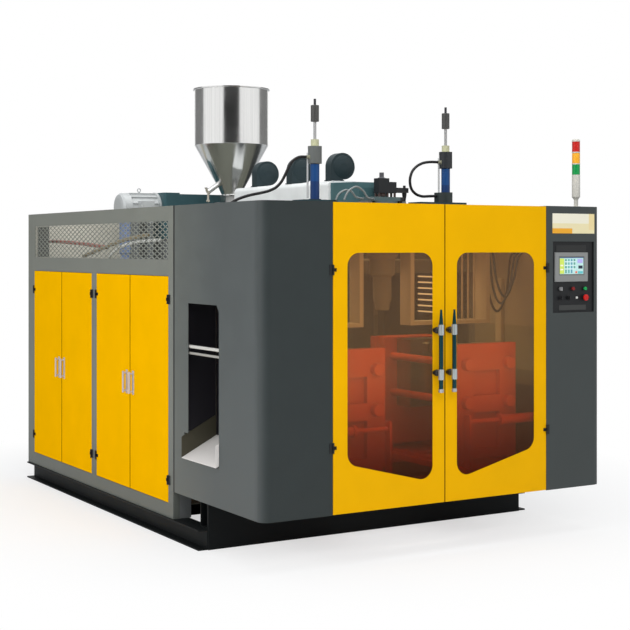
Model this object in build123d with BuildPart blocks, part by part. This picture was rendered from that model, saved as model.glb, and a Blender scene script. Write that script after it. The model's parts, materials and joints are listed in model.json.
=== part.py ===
from build123d import *
from math import pi, radians, tan
import os

os.makedirs("parts", exist_ok=True)

# A double-station blow moulding machine, in millimetres, +Z up, +Y towards the rear.
# The origin is the centre of the four anchor bolts under the base beams.

# Enclosure
half_width = 1255
front_y = -2335
seam_y = -1170
rear_y = 1565
top_z = 2100
skirt_z = 298
cabinet_z = 125
sheet = 3
rim = 40
corner_r = 60
column_w = 460
door_half = half_width - column_w
door_gap = 3
door_depth = 30

# Windows of the front doors, measured from the seam between the doors
window_inner = 90
window_outer = door_half - 100
window_top = 1805
window_low_inner = 430
window_low_outer = 582
window_r = 80
pane = 5

# Base beams and anchor bolts
beam_x = half_width - 50
beam_h = 125
beam_flange = 9
beam_web = 6.5
beam_front = -1555
beam_rear = 1555
anchor_x = half_width - 85
anchor_y = 1400
anchor_r = 11

# Frame of square tubes
tube = 80
tube_wall = 5
post_x = half_width - 85
seam_post_y = -1130
post_rows = [seam_post_y, 157, 1505]
front_post_y = -2230
rail_z = 300
front_top_z = 1880
rear_top_z = 1660
weld_gap = 0.2
deck = 6

# Clearances
gap = 0.3
running = 0.05

# Mould stations
station_x = 507
mould_y = -1655
mould_half = 130
mould_depth = 160
mould_low = 760
mould_high = 1215
mould_open = 220
platen_t = 60
platen_half = 235
platen_low = 500
platen_high = 1225
bar_r = 25
bar_x = 165
bar_z = [853, 1097]
nut_r = 38
nut_t = 45
clamp_z = 975
clamp_rod_r = 45
yoke_y = -1135
carriage_half = 245
carriage_z = 420
carriage_t = 35
bed_rail_y = [-2005, -1325]
bed_rail_h = 25
guide_x = 190
guide_h = 20

# Blow stations
blow_plate_z = 1330
blow_mount_z = 2115
blow_rod_r = 9.5
blow_pin_r = 15

# Extruder
barrel_z = 2085
barrel_r = 70
bore_r = 45
barrel_rear = 700
hopper_y = 454
throat_y = 508
hopper_r = 287
hopper_rim = 3066
cover_half = 125
cover_top = 2285
blower_y = [-1185, -653, -137]


# Helpers: boxes, rods, prisms and turned shapes placed in the machine frame
def block(x0, x1, y0, y1, z0, z1, mode=Mode.ADD):
    with Locations(((x0 + x1) / 2, (y0 + y1) / 2, (z0 + z1) / 2)):
        Box(abs(x1 - x0), abs(y1 - y0), abs(z1 - z0), mode=mode)


def hollow_bar(x0, x1, y0, y1, z0, z1, wall, along):
    block(x0, x1, y0, y1, z0, z1)
    inset = [0 if axis == along else wall for axis in "xyz"]
    block(
        x0 + inset[0], x1 - inset[0],
        y0 + inset[1], y1 - inset[1],
        z0 + inset[2], z1 - inset[2],
        mode=Mode.SUBTRACT,
    )


def rod_x(y, z, radius, x0, x1, mode=Mode.ADD):
    with BuildSketch(Plane.YZ.offset(min(x0, x1))) as disc:
        with Locations((y, z)):
            Circle(radius)
    extrude(disc.sketch, amount=abs(x1 - x0), mode=mode)


def rod_y(x, z, radius, y0, y1, mode=Mode.ADD):
    with BuildSketch(Plane.XZ.offset(-max(y0, y1))) as disc:
        with Locations((x, z)):
            Circle(radius)
    extrude(disc.sketch, amount=abs(y1 - y0), mode=mode)


def rod_z(x, y, radius, z0, z1, mode=Mode.ADD):
    with BuildSketch(Plane.XY.offset(min(z0, z1))) as disc:
        with Locations((x, y)):
            Circle(radius)
    extrude(disc.sketch, amount=abs(z1 - z0), mode=mode)


def prism(plane, points, amount, mode=Mode.ADD):
    with BuildSketch(plane) as outline:
        with BuildLine():
            Polyline(*points, close=True)
        make_face()
    extrude(outline.sketch, amount=amount, mode=mode)


def prism_x(points, x0, x1, mode=Mode.ADD):
    prism(Plane.YZ.offset(x0), points, x1 - x0, mode)


def prism_y(points, y0, y1, mode=Mode.ADD):
    prism(Plane.XZ.offset(-y1), points, y1 - y0, mode)


def turned(plane, axis, points, mode=Mode.ADD):
    with BuildSketch(plane) as half:
        with BuildLine():
            Polyline(*points, close=True)
        make_face()
    revolve(half.sketch, axis=axis, mode=mode)


def turned_z(x, y, points, mode=Mode.ADD):
    plane = Plane((x, y, 0), x_dir=(1, 0, 0), z_dir=(0, -1, 0))
    turned(plane, Axis((x, y, 0), (0, 0, 1)), points, mode)


def turned_y(x, z, points, mode=Mode.ADD):
    turned(Plane((x, 0, z)), Axis((x, 0, z), (0, 1, 0)), points, mode)


def turned_x(y, z, points, mode=Mode.ADD):
    turned(Plane((0, y, z)), Axis((0, y, z), (1, 0, 0)), points, mode)


def hose(points, radius):
    runs = [(Vector(b) - Vector(a)) for a, b in zip(points, points[1:])]
    bends = []
    for first, second in zip(runs, runs[1:]):
        turn = first.get_angle(second)
        reach = 0.45 * min(first.length, second.length)
        bends.append(reach / tan(radians(turn / 2)))
    with BuildLine() as path:
        FilletPolyline(*points, radius=bends)
    with BuildSketch(Plane(points[0], z_dir=runs[0])) as section:
        Circle(radius)
    tube = sweep(section.sketch, path=path.line)
    length = sum(edge.length for edge in path.edges())
    print("bend radii", [round(bend) for bend in bends], "length", round(length))
    print("volume", round(tube.volume), "section times length", round(pi * radius ** 2 * length))


def finish(piece, label):
    piece.label = label
    export_step(piece, f"parts/{label}.step")


# Base: two wide-flange beams, a front cross plate with a box member, cross tubes
with BuildPart() as base_beams:
    flange_half = beam_h / 2
    for side in (-1, 1):
        with BuildSketch(Plane.XZ.offset(-beam_rear)) as beam:
            with Locations((side * beam_x, beam_h / 2)):
                Rectangle(beam_h, beam_h)
            for hand in (-1, 1):
                pocket = (beam_h - beam_web) / 2
                with Locations((side * beam_x + hand * (beam_web + pocket) / 2, beam_h / 2)):
                    Rectangle(pocket, beam_h - 2 * beam_flange, mode=Mode.SUBTRACT)
        extrude(amount=beam_rear - beam_front)
    with Locations((0, 0, beam_flange)):
        with GridLocations(2 * anchor_x, 2 * anchor_y, 2, 2):
            Hole(anchor_r, depth=beam_flange)
    web_in = beam_x - beam_web / 2 - weld_gap
    block(-beam_x, beam_x, beam_front - 10, beam_front - weld_gap, 0, rail_z - weld_gap)
    hollow_bar(
        -beam_x, beam_x, beam_front, beam_front + 100,
        beam_h + weld_gap, rail_z - weld_gap, 8, "x",
    )
    block(-beam_x, beam_x, beam_rear + weld_gap, beam_rear + 10, 0, beam_h)
    for y in (-520, 520):
        hollow_bar(
            -web_in, web_in, y - 50, y + 50,
            beam_flange + weld_gap, beam_h - beam_flange - weld_gap, 8, "x",
        )
finish(base_beams.part, "base_beams")

# Machine frame: posts, side rails and cross members of square tube
half_tube = tube / 2
inner_x = post_x - half_tube
outer_x = post_x + half_tube
with BuildPart() as machine_frame:
    for side in (-1, 1):
        x0 = side * post_x - half_tube
        x1 = side * post_x + half_tube
        for y in post_rows:
            head = front_top_z if y == seam_post_y else rear_top_z
            hollow_bar(
                x0, x1, y - half_tube, y + half_tube,
                cabinet_z + weld_gap, head - weld_gap, tube_wall, "z",
            )
        hollow_bar(
            x0, x1, front_post_y - half_tube, front_post_y + half_tube,
            rail_z + tube + weld_gap, front_top_z - weld_gap, tube_wall, "z",
        )
        front_end = front_post_y - half_tube
        hollow_bar(
            x0, x1, front_end, seam_post_y - half_tube - weld_gap,
            rail_z, rail_z + tube, tube_wall, "y",
        )
        hollow_bar(
            x0, x1, front_end, seam_post_y + half_tube,
            front_top_z, front_top_z + tube, tube_wall, "y",
        )
        hollow_bar(
            x0, x1, seam_post_y + half_tube + weld_gap, post_rows[-1] + half_tube,
            rear_top_z, rear_top_z + tube, tube_wall, "y",
        )
        for y0, y1 in zip(post_rows, post_rows[1:]):
            hollow_bar(
                x0, x1, y0 + half_tube + weld_gap, y1 - half_tube - weld_gap,
                cabinet_z + weld_gap, cabinet_z + tube, tube_wall, "y",
            )
    cross = inner_x - weld_gap
    low_rows = [front_post_y, bed_rail_y[0], bed_rail_y[1], seam_post_y]
    for y in low_rows:
        hollow_bar(
            -cross, cross, y - half_tube, y + half_tube,
            rail_z, rail_z + tube, tube_wall, "x",
        )
    for y in (front_post_y, mould_y - 240, mould_y + 240, seam_post_y):
        hollow_bar(
            -cross, cross, y - half_tube, y + half_tube,
            front_top_z, front_top_z + tube, tube_wall, "x",
        )
    for y in post_rows:
        hollow_bar(
            -cross, cross, y - half_tube, y + half_tube,
            rear_top_z, rear_top_z + tube, tube_wall, "x",
        )
finish(machine_frame.part, "machine_frame")

# Bed rails: profiled rails along X that carry both mould carriages
bed_z = rail_z + tube
rail_half = 17
with BuildPart() as bed_rails:
    for y in bed_rail_y:
        prism_x(
            [
                (y - rail_half, bed_z), (y + rail_half, bed_z),
                (y + rail_half, bed_z + 8), (y + rail_half - 4, bed_z + 12),
                (y + rail_half, bed_z + 16), (y + rail_half, bed_z + bed_rail_h),
                (y - rail_half, bed_z + bed_rail_h), (y - rail_half, bed_z + 16),
                (y - rail_half + 4, bed_z + 12), (y - rail_half, bed_z + 8),
            ],
            -inner_x + 10, inner_x - 10,
        )
finish(bed_rails.part, "bed_rails")

# Casings: one folded sheet round each front corner, with rims at head and foot
rear_return = 44
column_roof_y = -2060
chute_front = -1802
chute_back = -1385
chute_low_back = -1331
chute_low = 533
chute_step = 692
chute_top = 1493
recess_x = [door_half + 54, half_width - 60]
recess_z = [1420, 1874]


def corner_casing(side):
    outer = side * half_width
    column = side * door_half
    wall = side * (half_width - sheet)
    inner_rim = side * (half_width - rim)
    with BuildSketch(Plane.XY.offset(skirt_z)) as footprint:
        with Locations(((outer + column) / 2, (front_y + seam_y) / 2)):
            Rectangle(half_width - door_half, seam_y - front_y)
        corner = footprint.vertices().group_by(Axis.Y)[0].sort_by(Axis.X)
        fillet(corner[0] if side < 0 else corner[-1], corner_r)
    extrude(footprint.sketch, amount=top_z - skirt_z)
    with BuildSketch(Plane.XY.offset(skirt_z + sheet)) as cavity:
        with Locations(((wall + column - side * sheet) / 2, (front_y + seam_y) / 2 + sheet)):
            Rectangle(half_width - door_half, seam_y - front_y)
        corner = cavity.vertices().group_by(Axis.Y)[0].sort_by(Axis.X)
        fillet(corner[0] if side < 0 else corner[-1], corner_r - sheet)
    extrude(cavity.sketch, amount=top_z - skirt_z - 2 * sheet, mode=Mode.SUBTRACT)
    block(inner_rim, column, front_y + rim, seam_y, skirt_z, skirt_z + sheet, mode=Mode.SUBTRACT)
    block(inner_rim, column, column_roof_y, seam_y, top_z - sheet, top_z, mode=Mode.SUBTRACT)
    jamb = column + side * sheet
    block(column, jamb, front_y + 1, front_y + 64, skirt_z, top_z)
    block(outer, side * (half_width - rear_return), seam_y - sheet, seam_y, skirt_z, top_z)


with BuildPart() as front_corner_casing:
    corner_casing(-1)
    prism_x(
        [
            (chute_front, chute_low), (chute_low_back, chute_low),
            (chute_low_back, chute_step), (chute_back, chute_step),
            (chute_back, chute_top), (chute_front + 30, chute_top),
            (chute_front, chute_top - 40),
        ],
        -half_width - 1, -half_width + sheet + 1, mode=Mode.SUBTRACT,
    )
finish(front_corner_casing.part, "front_corner_casing")

with BuildPart() as control_casing:
    corner_casing(1)
    block(*recess_x, front_y - 1, front_y + sheet + 1, *recess_z, mode=Mode.SUBTRACT)
finish(control_casing.part, "control_casing")

# Cabinet face: one sheet with two door openings and the mesh window above them
door_pairs = [(-1095, 110, -486.5), (205, 1415, 807)]
side_door_low = 220
side_door_high = 1652
mesh_y = [-1089, 1397]
mesh_z = [1760, 2003]
with BuildPart() as cabinet_face:
    block(-half_width, -half_width + sheet, seam_y, rear_y, cabinet_z, top_z)
    for z0 in (cabinet_z, top_z - sheet):
        block(-half_width, -half_width + rim, seam_y, rear_y, z0, z0 + sheet)
    for y0 in (seam_y, rear_y - sheet):
        block(-half_width, -half_width + rear_return, y0, y0 + sheet, cabinet_z, top_z)
    for y0, y1, seam in door_pairs:
        block(
            -half_width - 1, -half_width + sheet + 1, y0 - door_gap, y1 + door_gap,
            side_door_low - door_gap, side_door_high + door_gap, mode=Mode.SUBTRACT,
        )
    block(
        -half_width - 1, -half_width + sheet + 1, *mesh_y, *mesh_z, mode=Mode.SUBTRACT
    )
    rear_edge = cabinet_face.edges().filter_by(Axis.Z).group_by(Axis.Y)[-1].sort_by(Axis.X)[0]
    fillet(rear_edge, 8)
finish(cabinet_face.part, "cabinet_face")

# Outer panels: the right side sheet and the rear sheet, with louvre slots
with BuildPart() as outer_panels:
    block(half_width - sheet, half_width, seam_y, rear_y, cabinet_z, top_z)
    block(half_width - rim, half_width, seam_y, rear_y, top_z - sheet, top_z)
    block(
        -half_width + rear_return + weld_gap, half_width - sheet - weld_gap,
        rear_y - sheet, rear_y, cabinet_z, top_z,
    )
    for y in (-490, 810):
        with Locations((half_width, y, 1500)):
            with Locations(Location((0, 0, 0), (0, 90, 0))):
                with GridLocations(45, 1, 8, 1):
                    Box(12, 420, 20, mode=Mode.SUBTRACT)
    with Locations((0, rear_y, 1500)):
        with Locations(Location((0, 0, 0), (90, 0, 0))):
            with GridLocations(0.72 * half_width, 45, 2, 8):
                Box(420, 12, 20, mode=Mode.SUBTRACT)
finish(outer_panels.part, "outer_panels")

# Inner plates: deck under the extruder, cabinet floor, partition and a right lining
deck_z = rear_top_z + tube
floor_z = cabinet_z + tube
partition_y = post_rows[1] - half_tube
with BuildPart() as inner_plates:
    block(-outer_x, outer_x, seam_post_y + half_tube + weld_gap, post_rows[-1] + half_tube,
          deck_z, deck_z + deck)
    block(-outer_x, outer_x, seam_post_y - half_tube, post_rows[-1] + half_tube,
          floor_z, floor_z + 4)
    for side in (-1, 1):
        for y in post_rows:
            with Locations((side * post_x, y, floor_z + 2)):
                Box(tube + 2 * weld_gap, tube + 2 * weld_gap, 4, mode=Mode.SUBTRACT)
    block(-outer_x, outer_x, partition_y - 4, partition_y - weld_gap,
          floor_z + 4 + weld_gap, deck_z - tube - weld_gap)
    block(inner_x - 4, inner_x - weld_gap, front_post_y, seam_y - 1, 900, 1850)
finish(inner_plates.part, "inner_plates")

# Vent mesh: expanded sheet behind the window above the side doors
mesh_cols = 22
mesh_rows = 4
with BuildPart() as vent_mesh:
    mesh_x = -half_width + sheet + weld_gap
    block(mesh_x, mesh_x + 1.5, mesh_y[0] - 12, mesh_y[1] + 12, mesh_z[0] - 12, mesh_z[1] + 12)
    pitch_y = (mesh_y[1] - mesh_y[0]) / mesh_cols
    pitch_z = (mesh_z[1] - mesh_z[0]) / mesh_rows
    with BuildSketch(Plane.YZ.offset(mesh_x)) as holes:
        with Locations((sum(mesh_y) / 2, sum(mesh_z) / 2)):
            with GridLocations(pitch_y, pitch_z, mesh_cols, mesh_rows):
                with BuildLine():
                    Polyline(
                        (-0.44 * pitch_y, 0), (0, -0.44 * pitch_z),
                        (0.44 * pitch_y, 0), (0, 0.44 * pitch_z), close=True,
                    )
                make_face()
    extrude(holes.sketch, amount=1.5, mode=Mode.SUBTRACT)
finish(vent_mesh.part, "vent_mesh")

# Hinges: knuckles on a pin, one leaf on the casing and one on the door
hinge_axis = 6
knuckle_r = 5.7
pin_r = 3.5
front_hinge_z = [684, 1707]
side_hinge_z = [363, 1507]
hinge_h = 60
leaf_in = 6.2


def vertical_knuckle(x, y, z0, z1, bored):
    rod_z(x, y, knuckle_r, z0, z1)
    if bored:
        rod_z(x, y, pin_r + running, z0, z1, mode=Mode.SUBTRACT)


front_hinges = []
for side in (-1, 1):
    for z in front_hinge_z:
        front_hinges.append((side, side * (door_half - door_gap / 2), front_y - hinge_axis, z))
side_hinges = []
for y0, y1, seam in door_pairs:
    for z in side_hinge_z:
        side_hinges.append((1, -half_width - hinge_axis, y0 - door_gap / 2, z))
        side_hinges.append((-1, -half_width - hinge_axis, y1 + door_gap / 2, z))

with BuildPart() as door_hinges:
    third = hinge_h / 3
    for side, x, y, z in front_hinges:
        for z0 in (z - hinge_h / 2, z + third / 2 + gap):
            rod_z(x, y, knuckle_r, z0, z0 + third - gap)
        rod_z(x, y, pin_r, z - hinge_h / 2, z + hinge_h / 2)
        block(x + side * leaf_in, x + side * 24, front_y - 3, front_y,
              z - hinge_h / 2, z + hinge_h / 2)
        for z0 in (z - hinge_h / 2, z + third / 2 + gap):
            block(x, x + side * 8, front_y - 3, front_y, z0, z0 + third - gap)
    for side, x, y, z in side_hinges:
        for z0 in (z - hinge_h / 2, z + third / 2 + gap):
            rod_z(x, y, knuckle_r, z0, z0 + third - gap)
        rod_z(x, y, pin_r, z - hinge_h / 2, z + hinge_h / 2)
        block(-half_width - 3, -half_width, y - side * leaf_in, y - side * 30,
              z - hinge_h / 2, z + hinge_h / 2)
        for z0 in (z - hinge_h / 2, z + third / 2 + gap):
            block(-half_width - 3, -half_width, y, y - side * 8, z0, z0 + third - gap)
finish(door_hinges.part, "door_hinges")

# Front doors: folded yellow skins with a window whose foot slopes down to the seam


def window_outline(side, grow):
    return [
        (side * (window_inner - grow), window_top + grow),
        (side * (window_outer + grow), window_top + grow),
        (side * (window_outer + grow), window_low_outer - grow),
        (side * (window_inner - grow), window_low_inner - grow),
    ]


def window_sketch(side, grow, radius, y):
    with BuildSketch(Plane.XZ.offset(-y)) as opening:
        with BuildLine():
            Polyline(*window_outline(side, grow), close=True)
        make_face()
        fillet(opening.vertices(), radius)
    return opening.sketch


def front_door(side):
    edge = side * (door_half - door_gap)
    inner = side * door_gap / 2
    low = skirt_z + door_gap
    high = top_z - door_gap
    block(inner, edge, front_y, front_y + door_depth, low, high)
    block(
        inner + side * sheet, edge - side * sheet, front_y + sheet, front_y + door_depth,
        low + sheet, high - sheet, mode=Mode.SUBTRACT,
    )
    opening = window_sketch(side, 0, window_r, front_y + sheet)
    extrude(opening, amount=sheet, mode=Mode.SUBTRACT)
    third = hinge_h / 3
    for hand, x, y, z in front_hinges:
        if hand == side:
            block(x, x - side * 24, front_y - 3, front_y, z - third / 2, z + third / 2)
            vertical_knuckle(x, y, z - third / 2, z + third / 2, True)


with BuildPart() as left_door:
    front_door(-1)
finish(left_door.part, "left_door")

with BuildPart() as right_door:
    front_door(1)
finish(right_door.part, "right_door")

with BuildPart() as left_window:
    extrude(window_sketch(-1, 25, window_r + 20, front_y + sheet + pane), amount=pane)
finish(left_window.part, "left_window")

with BuildPart() as right_window:
    extrude(window_sketch(1, 25, window_r + 20, front_y + sheet + pane), amount=pane)
finish(right_window.part, "right_window")

# Door handles: a long tapered grip on two ball posts
handle_x = {-1: -76, 1: 22}
handle_stand = 66
grip_r = 13.5
post_z = [1085, 1340]


def door_handle(side):
    x = handle_x[side]
    y = front_y - handle_stand
    turned_z(x, y, [
        (0, 970), (grip_r, 970), (grip_r, 1380), (grip_r - 2, 1400), (6, 1465), (0, 1465),
    ])
    for z in (1046, 1313):
        rod_z(x, y, 17.5, z, z + 62)
    rod_z(x, y, 16, 972, 990)
    for z in post_z:
        rod_y(x, z, 10, y, front_y - 12)
        turned_y(x, z, [
            (0, front_y - 44), (12, front_y - 42), (19, front_y - 34), (21, front_y - 24),
            (18, front_y - 12), (16, front_y - gap), (0, front_y - gap),
        ])


with BuildPart() as left_handle:
    door_handle(-1)
finish(left_handle.part, "left_handle")

with BuildPart() as right_handle:
    door_handle(1)
finish(right_handle.part, "right_handle")

# Side doors: four leaves in two pairs, each with a vertical pull near the seam
side_depth = 20
pull_z = 932
pull_h = 160
pull_from_seam = 52


def side_door(y_hinge, y_free, seam):
    hand = 1 if y_free > y_hinge else -1
    free = seam - hand * door_gap / 2
    y0, y1 = sorted((y_hinge, free))
    x_face = -half_width
    block(x_face, x_face + side_depth, y0, y1, side_door_low, side_door_high)
    block(x_face + sheet, x_face + side_depth, y0 + sheet, y1 - sheet,
          side_door_low + sheet, side_door_high - sheet, mode=Mode.SUBTRACT)
    pull_y = seam - hand * pull_from_seam
    block(x_face - 2, x_face, pull_y - 16, pull_y + 16,
          pull_z - pull_h / 2, pull_z + pull_h / 2)
    for z in (pull_z - 60, pull_z + 60):
        rod_x(pull_y, z, 6, x_face - 30, x_face)
    rod_z(x_face - 28, pull_y, 7, pull_z - pull_h / 2 + 8, pull_z + pull_h / 2 - 8)
    third = hinge_h / 3
    axis_y = y_hinge - hand * door_gap / 2
    for z in side_hinge_z:
        x = x_face - hinge_axis
        block(x_face - 3, x_face, axis_y, axis_y + hand * 30,
              z - third / 2, z + third / 2)
        vertical_knuckle(x, axis_y, z - third / 2, z + third / 2, True)


with BuildPart() as side_door_1:
    side_door(door_pairs[0][0], door_pairs[0][2], door_pairs[0][2])
finish(side_door_1.part, "side_door_1")

with BuildPart() as side_door_2:
    side_door(door_pairs[0][1], door_pairs[0][2], door_pairs[0][2])
finish(side_door_2.part, "side_door_2")

with BuildPart() as side_door_3:
    side_door(door_pairs[1][0], door_pairs[1][2], door_pairs[1][2])
finish(side_door_3.part, "side_door_3")

with BuildPart() as side_door_4:
    side_door(door_pairs[1][1], door_pairs[1][2], door_pairs[1][2])
finish(side_door_4.part, "side_door_4")

# Hopper: a rolled cylinder with a folded rim on a spun cone with an outlet flange
hopper_wall = 3
cone_top = 2631
cone_low = 2246
outlet_r = 75
flange_z = 2240
drain_dir = Vector(-0.82, 0, -0.57).normalized()
drain_up = Vector(drain_dir.Z, 0, -drain_dir.X)
drain_end = Vector(-112, hopper_y, 2330) + drain_dir * (110 + gap)
drain_pivot = drain_end + drain_up * 36
gate_half = 8
with BuildPart() as hopper:
    turned_z(0, hopper_y, [
        (hopper_r, cone_top + weld_gap), (hopper_r, hopper_rim - 11),
        (hopper_r + 12, hopper_rim - 8), (hopper_r + 12, hopper_rim),
        (hopper_r - hopper_wall, hopper_rim), (hopper_r - hopper_wall, cone_top + weld_gap),
    ])
    turned_z(0, hopper_y, [
        (outlet_r, cone_low), (101, 2301), (hopper_r, cone_top - 1), (hopper_r, cone_top),
        (hopper_r - hopper_wall, cone_top), (101 - hopper_wall, 2303),
        (outlet_r - hopper_wall, cone_low),
    ])
    rod_z(0, hopper_y, outlet_r + 6, flange_z, cone_low)
    rod_z(0, throat_y, 28, flange_z, cone_low, mode=Mode.SUBTRACT)
    with BuildSketch(Plane((-112, hopper_y, 2330), z_dir=(-0.82, 0, -0.57))) as stub:
        Circle(20)
        Circle(17, mode=Mode.SUBTRACT)
    extrude(stub.sketch, amount=110)
    for y in (hopper_y - gate_half - gap - 3, hopper_y + gate_half + gap):
        with BuildSketch(Plane((drain_end.X, y, drain_end.Z), x_dir=drain_up, z_dir=(0, 1, 0))) as lug:
            Polygon((15, 14), (15, 0.6), (32, 0.6), (36, -3), (40, 1), (36, 5), align=None)
            with Locations((36, 0)):
                Circle(4.5)
        extrude(lug.sketch, amount=3)
    rod_y(drain_pivot.X, drain_pivot.Z, 2, hopper_y - gate_half - 3, hopper_y + gate_half + 3)
finish(hopper.part, "hopper")

# Drain gate: a flap with a hand lever at the low end of the drain tube
with BuildPart() as drain_gate:
    with BuildSketch(Plane(drain_end, x_dir=(0, 1, 0), z_dir=drain_dir)) as flap:
        Circle(24)
        with Locations((0, -24)):
            Rectangle(16, 24)
    extrude(flap.sketch, amount=5)
    lever_x = drain_end.X
    lever_z = drain_end.Z - 5
    block(lever_x - 4, lever_x + 4, hopper_y - 10, hopper_y + 10, lever_z - 65, lever_z)
    rod_y(lever_x, lever_z - 66, 9, hopper_y - 14, hopper_y + 14)
    rod_y(drain_pivot.X, drain_pivot.Z, 4.5, hopper_y - gate_half, hopper_y + gate_half)
    rod_y(drain_pivot.X, drain_pivot.Z, 2 + running, hopper_y - gate_half - 1,
          hopper_y + gate_half + 1, mode=Mode.SUBTRACT)
finish(drain_gate.part, "drain_gate")

# Barrel: bored tube with flanges, an adapter to the head and the feed throat
adapter_end = mould_y + 100
with BuildPart() as barrel:
    turned_y(0, barrel_z, [
        (0, adapter_end), (45, adapter_end), (45, -1380), (62, -1340), (62, -1240),
        (95, -1230), (95, -1200), (barrel_r, -1200), (barrel_r, barrel_rear - 40),
        (110, barrel_rear - 40), (110, barrel_rear), (0, barrel_rear),
    ])
    block(-47, 47, throat_y - 47, throat_y + 47, barrel_z + 30, flange_z)
    rod_y(0, barrel_z, bore_r + running, -1360, barrel_rear, mode=Mode.SUBTRACT)
    rod_y(0, barrel_z, 20, adapter_end, -1360, mode=Mode.SUBTRACT)
    rod_z(0, throat_y, 28, barrel_z + 20, flange_z, mode=Mode.SUBTRACT)
finish(barrel.part, "barrel")

# Screw: plain running surface with a tip cone and a drive shank
shank_r = 30
with BuildPart() as extruder_screw:
    turned_y(0, barrel_z, [
        (0, -1355), (6, -1350), (bore_r, -1270), (bore_r, barrel_rear + 2),
        (shank_r, barrel_rear + 2), (shank_r, barrel_rear + 90), (0, barrel_rear + 90),
    ])
finish(extruder_screw.part, "extruder_screw")

# Barrel covers: a white folded cover over the heated zones, a painted one at the adapter
cover_low = 1990
with BuildPart() as barrel_covers:
    with BuildSketch(Plane.XZ.offset(-165)) as hood:
        with Locations((0, (cover_low + cover_top) / 2)):
            Rectangle(2 * cover_half, cover_top - cover_low)
        fillet(hood.vertices().group_by(Axis.Y)[-1], 35)
    extrude(hood.sketch, amount=165 + 1192)
    with BuildSketch(Plane.XZ.offset(-162)) as void:
        with Locations((0, (cover_low + cover_top) / 2 - sheet)):
            Rectangle(2 * (cover_half - sheet), cover_top - cover_low)
        fillet(void.vertices().group_by(Axis.Y)[-1], 32)
    extrude(void.sketch, amount=162 + 1189, mode=Mode.SUBTRACT)
    prism_x(
        [(-1196, 1960), (-1196, 2270), (-1540, 2262), (-1548, 2225), (-1548, 1960)],
        -108, 108,
    )
    prism_x(
        [(-1199, 1950), (-1199, 2266), (-1538, 2258), (-1545, 2225), (-1545, 1950)],
        -105, 105, mode=Mode.SUBTRACT,
    )
    rod_y(0, barrel_z, 46, -1560, -1500, mode=Mode.SUBTRACT)
    rod_y(0, barrel_z, barrel_r + 1, -1199, 170, mode=Mode.SUBTRACT)
finish(barrel_covers.part, "barrel_covers")

# Cooling blowers: three scroll housings standing on the heater cover
scroll_r = 94
scroll_t = 75
tail_r = 86
scroll_x = -3
scroll_z = cover_top + 97
scroll_low = cover_top + weld_gap
with BuildPart() as cooling_blowers:
    for y in blower_y:
        with BuildSketch(Plane.XZ.offset(-(y + scroll_t))) as scroll:
            with BuildLine():
                Polyline(
                    (scroll_x, scroll_z - tail_r), (scroll_x, scroll_low),
                    (scroll_x - scroll_r, scroll_low), (scroll_x - scroll_r, scroll_z),
                )
                ThreePointArc(
                    (scroll_x - scroll_r, scroll_z), (scroll_x, scroll_z + scroll_r),
                    (scroll_x + scroll_r, scroll_z),
                )
                CenterArc((scroll_x + scroll_r - tail_r, scroll_z), tail_r, 0, -90)
                Line((scroll_x + scroll_r - tail_r, scroll_z - tail_r),
                     (scroll_x, scroll_z - tail_r))
            make_face()
        extrude(scroll.sketch, amount=scroll_t)
        block(scroll_x - scroll_r - 6, scroll_x + 6, y - 6, y + scroll_t + 6,
              scroll_low, scroll_low + 6)
        turned_y(scroll_x, scroll_z, [
            (0, y + scroll_t), (58, y + scroll_t), (58, y + scroll_t + 45),
            (48, y + scroll_t + 58), (0, y + scroll_t + 62),
        ])
        turned_y(scroll_x, scroll_z, [
            (0, y - 14), (26, y - 14), (52, y - 9), (72, y - 3), (76, y), (0, y),
        ])
finish(cooling_blowers.part, "cooling_blowers")

# Gearbox: cast housing with a raised input end and a foot flange
gear_x = [-457, 145]
gear_y = [barrel_rear + weld_gap, 1030]
gear_z = [1905, 2255]
motor_y = 865
motor_z = 2150
with BuildPart() as gearbox:
    block(*gear_x, *gear_y, *gear_z)
    block(gear_x[0], -319, *gear_y, gear_z[1], gear_z[1] + 10)
    fillet(gearbox.edges().filter_by(Axis.Z), 22)
    block(gear_x[0] + 20, gear_x[1] - 20, gear_y[0] - 0, gear_y[1] + 40,
          gear_z[0], gear_z[0] + 18)
    for x in (-400, -180, 60):
        block(x - 6, x + 6, gear_y[1], gear_y[1] + 25, gear_z[0], gear_z[1] - 60)
    rod_y(0, barrel_z, 100, gear_y[1], gear_y[1] + 20)
    rod_y(0, barrel_z, shank_r + running, gear_y[0] - 1, barrel_rear + 95, mode=Mode.SUBTRACT)
    rod_y(0, barrel_z, bore_r + 2, gear_y[0] - 1, barrel_rear + 4, mode=Mode.SUBTRACT)
finish(gearbox.part, "gearbox")

# Drive motor: finned frame, flange, domed fan cover, terminal box and lifting eye
motor_end = -778
with BuildPart() as drive_motor:
    x_flange = gear_x[0] - weld_gap
    turned_x(motor_y, motor_z, [
        (x_flange, 0), (x_flange, 118), (x_flange - 18, 118), (x_flange - 18, 102),
        (-700, 102), (-700, 110), (-755, 110), (-772, 96), (motor_end, 70), (motor_end, 0),
    ])
    for turn in range(12):
        with Locations(Location((0, motor_y, motor_z), (turn * 30 + 15, 0, 0))):
            with Locations((-587, 0, 106)):
                Box(212, 5, 20)
    block(-650, -540, motor_y - 165, motor_y - 95, motor_z - 45, motor_z + 45)
    for x in (-660, -540):
        block(x - 22, x + 22, motor_y - 90, motor_y + 90, motor_z - 118, motor_z - 80)
    rod_z(-600, motor_y, 9, motor_z + 95, motor_z + 122)
    with Locations(Location((-600, motor_y, motor_z + 134), (90, 0, 0))):
        Torus(13, 4)
finish(drive_motor.part, "drive_motor")

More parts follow.
